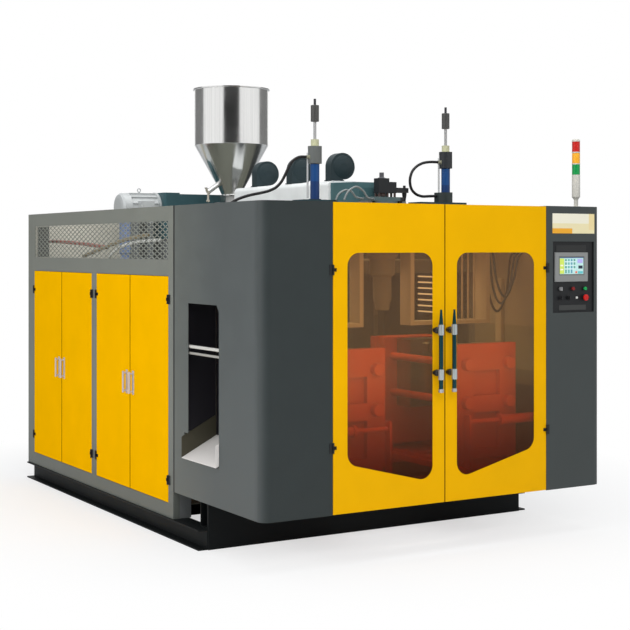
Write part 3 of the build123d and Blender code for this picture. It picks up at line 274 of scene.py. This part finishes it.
def brushed(name, color, rough=0.3, along=(1, 1, 1), metal=1.0, spread=0.12, edge=0.001):
    """Metal or cloth with streaks; an axis with a small scale in along is their length."""
    made, tree, bsdf = shader(name)
    streaks = noise(tree, object_point(tree, along), scale=60.0, detail=4.0)
    broad = noise(tree, object_point(tree), scale=3.0, detail=3.0)
    color = tinted(tree, streaks, color, spread)
    surfaced(tree, bsdf, color, broad, rough, BARE_WEAR, metal, BARE_SHINE)
    bumped(tree, bsdf, streaks, strength=0.15, distance=FINE_RELIEF, edge=edge)
    return made


def banded(name, axis, stops, rough=0.42, grain=260.0, spread=0.06, blend="CONSTANT"):
    """Paint whose colour changes along one axis: stops are (start, colour)."""
    made, tree, bsdf = shader(name)
    point = object_point(tree)
    low = stops[0][0]
    high = stops[-1][0] + BAND_TAIL
    bands = [((start - low) / (high - low), color) for start, color in stops]
    along = ranged(tree, axes(tree, point)[axis], low, high)
    broad = noise(tree, point, scale=6.0, detail=3.0)
    fine = noise(tree, point, scale=grain, detail=2.0)
    mix = add(tree, "ShaderNodeMix", data_type="RGBA", blend_type="MULTIPLY")
    mix.inputs[MIX_FACTOR].default_value = 1.0
    tree.links.new(ramp(tree, along, bands, blend), mix.inputs[MIX_A])
    tree.links.new(mapped(tree, broad, 1 - spread, 1 + spread), mix.inputs[MIX_B])
    surfaced(tree, bsdf, mix.outputs[MIX_RESULT], broad, rough, EVEN_WEAR)
    bumped(tree, bsdf, fine, strength=0.1, distance=FINE_RELIEF, edge=BAND_EDGE)
    return made


def zoned(name, base, zones, rough=0.42, metal=0.0, grain=260.0, edge=0.0015, spread=0.05,
          glow=0.0, bump=0.1, shine=PAINT_SHINE):
    """Paint with boxes of other colours: a zone is (x, y, z, colour), where x, y and z
    are (from, to), and None leaves an axis free."""
    made, tree, bsdf = shader(name)
    point = object_point(tree)
    along = axes(tree, point)
    broad = noise(tree, point, scale=4.0, detail=3.0)
    fine = noise(tree, point, scale=grain, detail=2.0)
    current = tinted(tree, broad, base, spread)
    for *box, color in zones:
        inside = None
        for axis, span in enumerate(box):
            if span is None:
                continue
            low, high = span
            within = add(tree, "ShaderNodeMath", operation="COMPARE")
            tree.links.new(along[axis], within.inputs[0])
            within.inputs[1].default_value = (low + high) / 2
            within.inputs[2].default_value = (high - low) / 2
            mask = within.outputs[0]
            inside = mask if inside is None else multiplied(tree, inside, mask)
        mix = add(tree, "ShaderNodeMix", data_type="RGBA")
        tree.links.new(inside, mix.inputs[MIX_FACTOR])
        tree.links.new(current, mix.inputs[MIX_A])
        mix.inputs[MIX_B].default_value = (*color, 1)
        current = mix.outputs[MIX_RESULT]
    surfaced(tree, bsdf, current, broad, rough, EVEN_WEAR, metal, shine)
    if glow:
        tree.links.new(current, bsdf.inputs["Emission Color"])
        bsdf.inputs["Emission Strength"].default_value = glow
    bumped(tree, bsdf, fine, bump, RELIEF, edge)
    return made


def amber_glass(name):
    """A clear tint and a thin haze, which both change with the height and darken towards the
    foot of the pane: painted shade.
    """
    made, tree, bsdf = shader(name)
    point = object_point(tree)
    height = ranged(tree, axes(tree, point)[Z_AXIS], PANE_FOOT, PANE_HEAD)
    # Darker tint and haze at the foot: painted shade
    tint = ramp(tree, height, [
        (0, (0.60, 0.20, 0.05)), (PANE_MIDDLE, (0.90, 0.72, 0.45)),
        (1, (0.96, 0.72, 0.47)),
    ])
    haze = ramp(tree, height, [
        (0, (0.10, 0.026, 0.006)), (PANE_MIDDLE, (0.27, 0.19, 0.115)),
        (1, (0.24, 0.16, 0.10)),
    ])
    clear = add(tree, "ShaderNodeBsdfTransparent")
    tree.links.new(tint, clear.inputs["Color"])
    tree.links.new(haze, bsdf.inputs["Base Color"])
    bsdf.inputs["Roughness"].default_value = 0.12
    bsdf.inputs["Specular IOR Level"].default_value = 0.2
    share = mapped(tree, noise(tree, point, scale=1.2, detail=2.0), *PANE_HAZE)
    out = tree.nodes["Material Output"]
    tree.links.new(mixed_shader(tree, share, clear, bsdf), out.inputs["Surface"])
    waves = noise(tree, point, scale=3.0, detail=1.0)
    bumped(tree, bsdf, waves, strength=0.05, distance=0.002, edge=0)
    return made


# Colours and finishes that several materials share
YELLOW = (0.84, 0.435, 0.0)
GREY = (0.068, 0.076, 0.079)
BEIGE = (0.52, 0.48, 0.40)
ORANGE = (0.58, 0.078, 0.014)
TEAL = (0.040, 0.095, 0.108)
HINGE_BLACK = (0.016, 0.016, 0.017)
# Near-black, painted shade inside the discharge chute
CHUTE_SHADE = (0.011, 0.010, 0.013)
CASING = {"rough": 0.46, "grain": 420.0}
DOOR = {"rough": 0.42, "spread": 0.025, "grain": 420.0, "bump": 0.06}
BUTTON_EDGE = 0.001

# Plain paints
m_base = paint("base black", (0.006, 0.0075, 0.0078), rough=0.55, spread=0.15, grain=90.0,
               shine=0.14)
m_frame = paint("frame grey", (0.16, 0.17, 0.17), rough=0.5, spread=0.1)
m_black = paint("hinge black", (0.014, 0.014, 0.015), rough=0.42, spread=0.1)
m_beige = paint("frame beige", BEIGE, rough=0.5, spread=0.08)
m_orange = paint("clamp orange", ORANGE, rough=0.4, spread=0.08)
m_teal = paint("unit teal", TEAL, rough=0.42, spread=0.08)
m_motor = paint("motor silver", (0.55, 0.57, 0.57), rough=0.4, spread=0.06, metal=0.2)
m_column = paint("column grey", (0.048, 0.056, 0.055), **CASING)
m_hose = paint("hose rubber", (0.012, 0.012, 0.013), rough=0.5, grain=500.0, edge=0)
m_blower = paint("blower black", (0.022, 0.037, 0.042), rough=0.5, grain=700.0, bump=0.3)
m_tower = paint("tower pale", (0.62, 0.60, 0.54), rough=0.35, spread=0.04)
m_red = paint("button red", (0.55, 0.012, 0.01), rough=0.25, edge=BUTTON_EDGE)
m_green = paint("button green", (0.01, 0.33, 0.08), rough=0.25, edge=BUTTON_EDGE)
m_dark_red = paint("button dark red", (0.22, 0.012, 0.012), rough=0.3, edge=BUTTON_EDGE)
m_selector = paint("selector silver", (0.4, 0.4, 0.4), rough=0.35, edge=BUTTON_EDGE,
                   metal=0.5)

# Bare metal, mesh and glass
m_mould = brushed("mould alloy", (0.46, 0.45, 0.42), rough=0.38, along=(0.3, 1, 1))
m_steel = brushed("ground steel", (0.55, 0.55, 0.54), rough=0.3, along=(1, 1, 0.1))
m_hopper = brushed("hopper steel", (0.78, 0.78, 0.77), rough=0.16, along=(1.6, 1.6, 0.02),
                   spread=0.05)
m_mesh = brushed("mesh steel", (0.24, 0.25, 0.215), rough=0.55, spread=0.1, metal=0.0,
                 edge=0)
m_amber = amber_glass("amber pane")

# Paints in bands along one axis
# Cabinet: darker towards the bottom, painted shade
m_cabinet_shaded = banded("cabinet grey", Z_AXIS, [
    (0.19, (0.115, 0.125, 0.112)), (0.70, (0.168, 0.176, 0.155)), (2.0, (0.182, 0.190, 0.166)),
], spread=0.04, blend="LINEAR", **CASING)
# Corner casing: lighter towards the rear and darker towards the front face, painted shade; a
# near-black rim at the rear edge
m_corner_shaded = banded("corner grey", Y_AXIS, [
    (-2.336, (0.023, 0.030, 0.030)), (-2.300, (0.050, 0.058, 0.058)),
    (-2.235, (0.078, 0.088, 0.088)), (-1.75, (0.078, 0.088, 0.087)),
    (-1.1895, (0.110, 0.120, 0.110)), (-1.189, (0.012, 0.012, 0.012)),
    (-1.165, (0.012, 0.012, 0.012)),
], blend="LINEAR", **CASING)
m_lens = banded("tower lens", Z_AXIS, [
    (2.31, (0.01, 0.30, 0.07)), (2.385, (0.9, 0.42, 0.03)), (2.46, (0.55, 0.02, 0.015)),
], rough=0.2)
m_covers = banded("cover paint", Y_AXIS, [
    (-1.6, (0.060, 0.135, 0.145)), (-1.194, (0.88, 0.90, 0.89)),
])

# Sheets with zones: the chute, the vessel of the hydraulic unit and the linings
GUARD_X = (-1.256, -1.225)
m_chute = zoned("chute paint", (0.74, 0.71, 0.68), [
    # painted shade on the back panel inside the chute
    ((-1.0353, -1.02), None, (0.662, 1.60), CHUTE_SHADE),
    # painted shade on the inner face of the rear side wall
    (None, (-1.3345, -1.3285), (0.52, 1.00), (0.055, 0.050, 0.033)),
    (GUARD_X, None, (1.160, 1.205), (0.36, 0.35, 0.32)),
    (GUARD_X, None, (1.205, 1.250), (0.60, 0.59, 0.55)),
    (GUARD_X, (-1.3635, -1.3445), (1.160, 1.250), (0.03, 0.03, 0.03)),
], rough=0.4, spread=0.04)
m_unit = zoned("unit paint", TEAL, [
    ((-1.16, -0.95), (-0.05, 0.17), (1.73, 2.15), (0.24, 0.31, 0.50)),
], spread=0.08)
LINING_X = (1.10, 1.14)
m_inner = zoned("inner sheet", (0.15, 0.155, 0.125), [
    (LINING_X, None, (1.30, 2.10), (0.36, 0.34, 0.28)),
    (LINING_X, None, (1.00, 1.30), (0.26, 0.26, 0.20)),
], rough=0.55, spread=0.12)
# Outer sheet: the pale inner face of the rear sheet behind the vent mesh is painted light
m_outer = zoned("outer sheet", GREY, [
    (None, (1.5600, 1.5635), (1.60, 2.11), (0.44, 0.42, 0.36)),
], spread=0.06, **CASING)

# Control box: bezel, its inner edge, the strip above, the pilot lamp, the strip below
m_panel = zoned("panel dark", (0.010, 0.011, 0.012), [
    ((0.869, 1.145), (-2.3345, -2.3249), (1.617, 1.805), (0.255, 0.262, 0.255)),
    ((0.900, 1.114), (-2.3350, -2.3249), (1.658, 1.781), (0.15, 0.155, 0.15)),
    ((0.880, 1.134), None, (1.8075, 1.8515), (0.022, 0.023, 0.023)),
    ((1.044, 1.064), (-2.3335, -2.3255), (1.504, 1.524), (0.70, 0.70, 0.66)),
    ((0.905, 1.135), (-2.3275, -2.3255), (1.434, 1.468), (0.045, 0.047, 0.045)),
], rough=0.4)

# Screen: a title bar, a menu with two keys, four bars, three rows and four fields
KEY_X = (0.914, 0.938)
KEY_PALE = (0.75, 0.72, 0.55)
ROW_X = (0.950, 1.044)
ROW_PALE = (0.52, 0.66, 0.66)
m_screen = zoned("screen glass", (0.40, 0.60, 0.58), [
    (None, None, (1.768, 1.780), (0.05, 0.12, 0.28)),
    ((0.906, 0.946), None, (1.668, 1.766), (0.50, 0.62, 0.10)),
    (KEY_X, None, (1.716, 1.726), KEY_PALE),
    (KEY_X, None, (1.690, 1.700), KEY_PALE),
    ((0.954, 0.968), None, (1.672, 1.762), (0.10, 0.30, 0.22)),
    ((0.978, 0.992), None, (1.672, 1.762), (0.12, 0.36, 0.34)),
    ((1.002, 1.016), None, (1.672, 1.762), (0.10, 0.28, 0.36)),
    ((1.026, 1.040), None, (1.700, 1.762), (0.10, 0.30, 0.24)),
    (ROW_X, None, (1.741, 1.748), ROW_PALE),
    (ROW_X, None, (1.718, 1.725), ROW_PALE),
    (ROW_X, None, (1.695, 1.702), ROW_PALE),
    ((1.058, 1.102), None, (1.736, 1.762), (0.36, 0.34, 0.66)),
    ((1.066, 1.102), None, (1.700, 1.720), (0.02, 0.03, 0.05)),
    ((1.040, 1.056), None, (1.670, 1.684), (0.62, 0.14, 0.08)),
    ((1.062, 1.104), None, (1.668, 1.684), (0.10, 0.42, 0.44)),
], rough=0.15, glow=0.40, grain=40.0, bump=0.01)

# Die head, from below: foot plate, gap ring, actuator blocks, cap; then the side arm
m_head = zoned("head metal", (0.20, 0.20, 0.19), [
    (None, None, (2.10, 2.1615), (0.10, 0.15, 0.155)),
    (None, None, (2.1612, 2.1885), (0.085, 0.060, 0.056)),
    (None, None, (2.1882, 2.2835), (0.022, 0.024, 0.027)),
    (None, None, (2.2832, 2.33), (0.11, 0.11, 0.12)),
    ((0.10, 0.21), None, (2.12, 2.26), (0.030, 0.031, 0.034)),
], metal=0.2)

# Blow cylinders: lower tube, two collars, gland nuts, two feet, two side rods, ports
LEFT_CYLINDER_X = (-0.60, -0.44)
RIGHT_CYLINDER_X = (0.40, 0.60)
COLLAR_Z = (2.3585, 2.4715)
SIDE_ROD_Y = (-1.643, -1.62)
SIDE_ROD_Z = (2.10, 2.45)
SIDE_ROD_PALE = (0.55, 0.56, 0.56)
m_cylinder = zoned("cylinder paint", (0.012, 0.070, 0.235), [
    (None, None, (2.100, 2.250), (0.012, 0.042, 0.150)),
    (LEFT_CYLINDER_X, None, COLLAR_Z, (0.13, 0.14, 0.135)),
    (RIGHT_CYLINDER_X, None, COLLAR_Z, (0.028, 0.032, 0.036)),
    (None, None, (2.4705, 2.53), (0.52, 0.52, 0.34)),
    (RIGHT_CYLINDER_X, None, (2.10, 2.2025), (0.035, 0.045, 0.045)),
    ((-0.62, -0.40), None, (2.10, 2.1405), (0.012, 0.025, 0.07)),
    ((-0.555, -0.539), SIDE_ROD_Y, SIDE_ROD_Z, SIDE_ROD_PALE),
    ((0.459, 0.475), SIDE_ROD_Y, SIDE_ROD_Z, SIDE_ROD_PALE),
    (None, (-1.668, -1.642), (2.390, 2.414), (0.30, 0.30, 0.22)),
], rough=0.36)

# Blow rods: stop block and top pin; blow frames: the mount plate at the head
m_rod = zoned("blow rod", (0.42, 0.42, 0.42), [
    (None, None, (2.6245, 2.7285), (0.085, 0.085, 0.082)),
    (None, None, (2.728, 2.79), (0.05, 0.05, 0.055)),
], rough=0.35, metal=0.35)
m_frames = zoned("blow frame paint", BEIGE, [
    (None, None, (2.113, 2.14), (0.018, 0.045, 0.055)),
], rough=0.5, spread=0.08)

# Doors: painted shade along the seams between the leaves, then black hinges, and pale pulls on
# the side doors
SIDE_FITTINGS_X = (-1.31, -1.2556)
# Painted shade in the gaps where two side doors meet
SIDE_SEAM_SHADE = (0.20, 0.095, 0.0)
m_side_door = zoned("side door paint", (0.85, 0.435, 0.0), [
    (None, (-0.4925, -0.4805), None, SIDE_SEAM_SHADE),
    (None, (0.8010, 0.8130), None, SIDE_SEAM_SHADE),
    (SIDE_FITTINGS_X, None, None, HINGE_BLACK),
    (SIDE_FITTINGS_X, None, (0.83, 1.03), (0.50, 0.46, 0.47)),
], shine=0.0, **DOOR)
m_front_door = zoned("front door paint", YELLOW, [
    # painted shade in the gap between the two front doors
    ((-0.0045, 0.0045), None, None, (0.26, 0.12, 0.0)),
    (None, (-2.40, -2.3356), None, HINGE_BLACK),
], shine=0.05, **DOOR)

# Door handles: a ring at the foot, two rings at the posts, and the ball posts
m_handle = zoned("handle grip", (0.006, 0.05, 0.06), [
    (None, None, (0.960, 0.9915), (0.50, 0.50, 0.52)),
    (None, None, (1.0455, 1.1085), (0.50, 0.55, 0.55)),
    (None, None, (1.3125, 1.3755), (0.50, 0.55, 0.55)),
    (None, (-2.3834, -2.30), None, (0.035, 0.035, 0.037)),
], rough=0.2, metal=0.55, shine=0.5)

# Materials of the part's nodes: by the node's name where it is listed, else by its slot
by_node = {
    "cabinet_face": m_cabinet_shaded, "front_corner_casing": m_corner_shaded, "control_casing": m_column,
    "hydraulic_unit": m_unit, "inner_plates": m_inner, "outer_panels": m_outer,
    "blow_frames": m_frames, "left_door": m_front_door, "right_door": m_front_door,
    **{f"side_door_{number}": m_side_door for number in range(1, 5)},
}
by_slot = {
    "base_black": m_base, "frame_grey": m_frame, "ground_steel": m_steel,
    "mesh_steel": m_mesh, "amber_pane": m_amber, "handle_chrome": m_handle,
    "hinge_black": m_black, "hopper_steel": m_hopper, "lever_beige": m_beige,
    "cover_white": m_covers, "blower_black": m_blower, "unit_teal": m_teal,
    "motor_silver": m_motor, "head_dark": m_head, "cylinder_blue": m_cylinder,
    "rod_chrome": m_rod, "hose_rubber": m_hose, "clamp_orange": m_orange,
    "mould_alloy": m_mould, "panel_dark": m_panel, "screen_glass": m_screen,
    "button_red": m_red, "button_green": m_green, "button_dark_red": m_dark_red,
    "selector_silver": m_selector, "selector_dark": m_black, "tower_pale": m_tower,
    "tower_lens": m_lens, "chute_white": m_chute,
}
for entry in frame["record"]["subparts"]:
    name = entry["node"]
    material = by_node[name] if name in by_node else by_slot[entry["material_slot"]]
    nodes[name].data.materials.clear()
    nodes[name].data.materials.append(material)

# Pieces made here
BOX_FACES = [
    (0, 1, 3, 2), (4, 6, 7, 5), (0, 4, 5, 1), (2, 3, 7, 6), (0, 2, 6, 4), (1, 5, 7, 3),
]
TUBE_SIDES = 10


def piece(name, vertices, faces, material, body, smooth=False):
    mesh = bpy.data.meshes.new(name)
    mesh.from_pydata(vertices, [], faces)
    mesh.validate()
    mesh.update()
    mesh.materials.append(material)
    for polygon in mesh.polygons:
        polygon.use_smooth = smooth
    made = linked(name, mesh)
    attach(made, body)
    return made


def plate(name, low, high, material, body, bevel=0.0006):
    """A box with bevelled edges between two corners."""
    (x0, y0, z0), (x1, y1, z1) = low, high
    vertices = [(x, y, z) for x in (x0, x1) for y in (y0, y1) for z in (z0, z1)]
    made = piece(name, vertices, BOX_FACES, material, body)
    edge = made.modifiers.new("edge", "BEVEL")
    edge.width = bevel
    edge.segments = 2


def smooth_route(points, steps):
    """A smooth curve through the points, in so many steps from one to the next."""
    ends = [points[0], *points, points[-1]]
    route = []
    for i in range(len(points) - 1):
        p0, p1, p2, p3 = (Vector(point) for point in ends[i:i + 4])
        for j in range(steps):
            t = j / steps
            route.append(0.5 * (
                2 * p1 + (p2 - p0) * t + (2 * p0 - 5 * p1 + 4 * p2 - p3) * t * t
                + (3 * p1 - p0 - 3 * p2 + p3) * t ** 3
            ))
    route.append(Vector(points[-1]))
    return route


def tube(name, points, radius, material, steps=8, across=(0, 0, 1)):
    """A round hose along a smooth curve, which must not run along the across direction."""
    route = smooth_route(points, steps)
    last = len(route) - 1
    vertices = []
    faces = []
    for i, at in enumerate(route):
        ahead = (route[min(i + 1, last)] - route[max(i - 1, 0)]).normalized()
        side = ahead.cross(Vector(across)).normalized()
        up = side.cross(ahead)
        for k in range(TUBE_SIDES):
            turn = 2 * math.pi * k / TUBE_SIDES
            vertices.append(tuple(at + radius * (math.cos(turn) * side + math.sin(turn) * up)))
    for i in range(last):
        for k in range(TUBE_SIDES):
            a = i * TUBE_SIDES + k
            b = i * TUBE_SIDES + (k + 1) % TUBE_SIDES
            faces.append((a, a + TUBE_SIDES, b + TUBE_SIDES, b))
    faces.append(tuple(range(TUBE_SIDES)))
    faces.append(tuple(reversed(range(last * TUBE_SIDES, (last + 1) * TUBE_SIDES))))
    piece(name, vertices, faces, material, "machine", smooth=True)


# Expanded mesh in the vent window
MESH_Y = (-1.089, 1.397)
MESH_Z = (1.760, 2.003)
MESH_X = -1.2515
MESH_STRAND = 0.0032
MESH_DEPTH = 0.0022
COLUMNS = 29
ROWS = 7


def expanded_mesh():
    vertices = []
    faces = []
    step_y = (MESH_Y[1] - MESH_Y[0]) / COLUMNS
    step_z = (MESH_Z[1] - MESH_Z[0]) / ROWS

    def bar(a, b):
        s = len(vertices)
        along = (Vector(b) - Vector(a)).normalized()
        side = along.cross(Vector((1, 0, 0))) * MESH_STRAND
        for end in (a, b):
            for depth in (-MESH_DEPTH / 2, MESH_DEPTH / 2):
                for hand in (-1, 1):
                    corner = Vector(end) + side * hand + Vector((depth, 0, 0))
                    vertices.append(tuple(corner))
        faces.extend([
            (s, s + 1, s + 5, s + 4), (s + 3, s + 2, s + 6, s + 7),
            (s + 2, s, s + 4, s + 6), (s + 1, s + 3, s + 7, s + 5),
        ])

    for row in range(ROWS):
        for column in range(COLUMNS):
            y0 = MESH_Y[0] + column * step_y
            z0 = MESH_Z[0] + row * step_z
            foot = (MESH_X, y0 + step_y / 2, z0)
            left = (MESH_X, y0, z0 + step_z / 2)
            right = (MESH_X, y0 + step_y, z0 + step_z / 2)
            top = (MESH_X, y0 + step_y / 2, z0 + step_z)
            for a, b in ((foot, left), (foot, right), (left, top), (right, top)):
                bar(a, b)
    made = piece("vent_mesh_sheet", vertices, faces, m_mesh, "machine")
    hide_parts("vent_mesh")


expanded_mesh()

# Name plate field above the control panel, bare
m_cream = zoned("plate field", (0.85, 0.76, 0.46), [
    ((0.845, 1.010), None, (1.926, 1.958), (0.84, 0.40, 0.03)),
    (None, None, (1.990, 2.060), (0.88, 0.84, 0.68)),
    ((1.150, 1.217), None, (1.950, 2.060), (0.85, 0.70, 0.36)),
], rough=0.35, spread=0.03, edge=0)
plate("name_plate", (0.845, -2.3362, 1.926), (1.198, -2.3352, 2.053), m_cream, "machine",
      bevel=0.0004)

# Baffle, hoses and a pipe behind the vent mesh, each in one plane across x
TAN_X = -1.195
BRAID_X = -1.215
PIPE_X = -1.150
m_baffle = paint("baffle grey", (0.10, 0.105, 0.095), rough=0.6)
m_tan = brushed("hose tan", (0.30, 0.24, 0.14), rough=0.5, metal=0.0, edge=0)
m_braid = brushed("hose braid", (0.78, 0.78, 0.74), rough=0.4, metal=0.1, edge=0)
m_pipe = paint("pipe red", (0.36, 0.12, 0.09), rough=0.5, edge=0)
plate("vent_baffle", (-1.2385, 1.130, 1.762), (-1.2370, 1.390, 2.001), m_baffle, "machine")
tube("vent_hose_tan", [
    (TAN_X, 0.512, 1.774), (TAN_X, 0.2, 1.822), (TAN_X, -0.096, 1.868),
    (TAN_X, -0.342, 1.898), (TAN_X, -0.643, 1.919),
], radius=0.013, material=m_tan)
tube("vent_hose_braid", [
    (BRAID_X, -0.035, 1.770), (BRAID_X, -0.108, 1.805), (BRAID_X, -0.232, 1.840),
    (BRAID_X, -0.423, 1.867), (BRAID_X, -0.656, 1.879), (BRAID_X, -0.879, 1.885),
], radius=0.010, material=m_braid)
tube("vent_pipe", [
    (PIPE_X, 1.36, 1.884), (PIPE_X, 1.134, 1.882), (PIPE_X, 0.709, 1.867),
    (PIPE_X, 0.35, 1.848), (PIPE_X, 0.18, 1.838),
], radius=0.014, material=m_pipe)

# Dark sheet at the rear of the discharge chute: painted shade, put where the opening shows
# only shade
m_chute_shade = paint("chute shade", CHUTE_SHADE, rough=0.6, spread=0.2)
plate("chute_rear_panel", (-1.2520, -1.3308, 0.700), (-1.0365, -1.3290, 1.530),
      m_chute_shade, "machine")

# Two thin hoses beside the die head
HEAD_HOSE_R = 0.0065
m_grey_braid = brushed("hose grey", (0.24, 0.27, 0.27), rough=0.45, metal=0.3, edge=0)
tube("head_hose_1", [
    (-0.405, -1.740, 2.132), (-0.383, -1.740, 2.171), (-0.331, -1.740, 2.197),
    (-0.286, -1.740, 2.186), (-0.256, -1.740, 2.155), (-0.200, -1.735, 2.145),
], HEAD_HOSE_R, material=m_grey_braid)
tube("head_hose_2", [
    (-0.360, -1.765, 2.132), (-0.331, -1.765, 2.185), (-0.271, -1.765, 2.218),
    (-0.219, -1.765, 2.194), (-0.180, -1.765, 2.150), (-0.120, -1.740, 2.145),
], HEAD_HOSE_R, material=m_grey_braid)

# Rods of the blow frames
ROD_Y = -1.640
ROD_R = 0.007
ROD_HEIGHTS = (1.354, 1.60, 1.80, 1.9858)
for hand, side in (("left", -1), ("right", 1)):
    for number, x in enumerate((0.655, 0.705, 0.755), 1):
        tube(f"frame_rod_{hand}_{number}", [(side * x, ROD_Y, z) for z in ROD_HEIGHTS],
             ROD_R, m_beige, steps=2, across=(0, 1, 0))

# Duct on the right lining, and cables that hang from the right blow frame to the lining
LINING_FACE = 1.1255
CABLE_R = 0.008
m_duct = paint("duct beige", (0.50, 0.46, 0.36), rough=0.5)
m_cable = paint("cable blue", (0.045, 0.085, 0.16), rough=0.45, edge=0)
plate("lining_duct", (1.0980, -1.500, 1.180), (LINING_FACE, -1.440, 1.620), m_duct,
      "machine")
cables = (m_hose, -1.620, 1.400), (m_cable, -1.660, 1.455), (m_cable, -1.700, 1.500)
for number, (material, y, low) in enumerate(cables, 1):
    tube(f"lining_cable_{number}", [
        (0.833, y, 1.900), (0.865, y, 1.820), (0.905, y, low + 0.10), (0.975, y, low),
        (1.050, y, low + 0.12), (1.085, y, 1.760), (LINING_FACE, y, 1.800),
    ], CABLE_R, material, across=(0, 1, 0))

# Floor: pale, and fully white away from the machine
FLOOR_HALF = 30
FLOOR_LEVEL = -0.0005
FADE_START = 1.6
FADE_END = 3.6
FADE_LEAST = 0.6


def floor_material():
    made, tree, bsdf = shader("floor pale")
    point = object_point(tree)
    broad = noise(tree, point, scale=2.0, detail=2.0)
    pale = tinted(tree, broad, (0.93, 0.93, 0.93), spread=0.004)
    tree.links.new(pale, bsdf.inputs["Base Color"])
    bsdf.inputs["Roughness"].default_value = 0.9
    bsdf.inputs["Specular IOR Level"].default_value = 0.1
    away = add(tree, "ShaderNodeVectorMath", operation="LENGTH")
    tree.links.new(point, away.inputs[0])
    fade = ranged(tree, away.outputs["Value"], FADE_START, FADE_END, FADE_LEAST)
    eye = add(tree, "ShaderNodeLightPath")
    share = multiplied(tree, fade, eye.outputs["Is Camera Ray"])
    glow = add(tree, "ShaderNodeEmission", Color=(1, 1, 1, 1), Strength=1.0)
    out = tree.nodes["Material Output"]
    tree.links.new(mixed_shader(tree, share, bsdf, glow), out.inputs["Surface"])
    return made


def flat_mesh(name, corners, material):
    mesh = bpy.data.meshes.new(name)
    mesh.from_pydata(corners, [], [(0, 1, 2, 3)])
    mesh.materials.append(material)
    return mesh


floor_corners = [
    (h * FLOOR_HALF, v * FLOOR_HALF, 0) for h, v in ((-1, -1), (1, -1), (1, 1), (-1, 1))
]
floor_object = linked("floor", flat_mesh("floor", floor_corners, floor_material()))
floor_object.location.z = FLOOR_LEVEL

# Cards that only the bright metal mirrors: middle, width, direction faced and level
CARD_HEIGHT = 7.0


def card(name, middle, width, facing, level):
    across = Vector((-facing[1], facing[0], 0)).normalized() * width / 2
    up = Vector((0, 0, CARD_HEIGHT / 2))
    corners = [tuple(Vector(middle) + h * across + v * up)
               for h, v in ((-1, -1), (1, -1), (1, 1), (-1, 1))]
    made, tree, bsdf = shader(name)
    broad = noise(tree, object_point(tree), scale=0.5, detail=1.0)
    grey = tinted(tree, broad, (level, level, level), spread=0.02)
    tree.links.new(grey, bsdf.inputs["Emission Color"])
    bsdf.inputs["Base Color"].default_value = (0, 0, 0, 1)
    bsdf.inputs["Specular IOR Level"].default_value = 0.0
    bsdf.inputs["Emission Strength"].default_value = 1.0
    item = linked(name, flat_mesh(name, corners, made))
    item.visible_camera = False
    item.visible_diffuse = False
    item.visible_shadow = False
    item.visible_transmission = False


card("card dark", (-6.4, -12.0, 3.6), 12.6, (-0.461, -0.887), 0.02)
card("card rear left", (-5.6, 11.0, 3.6), 12.8, (-0.47, 0.88), 0.22)
card("card rear right", (11.9, 1.9, 3.6), 12.8, (0.99, 0.12), 0.22)
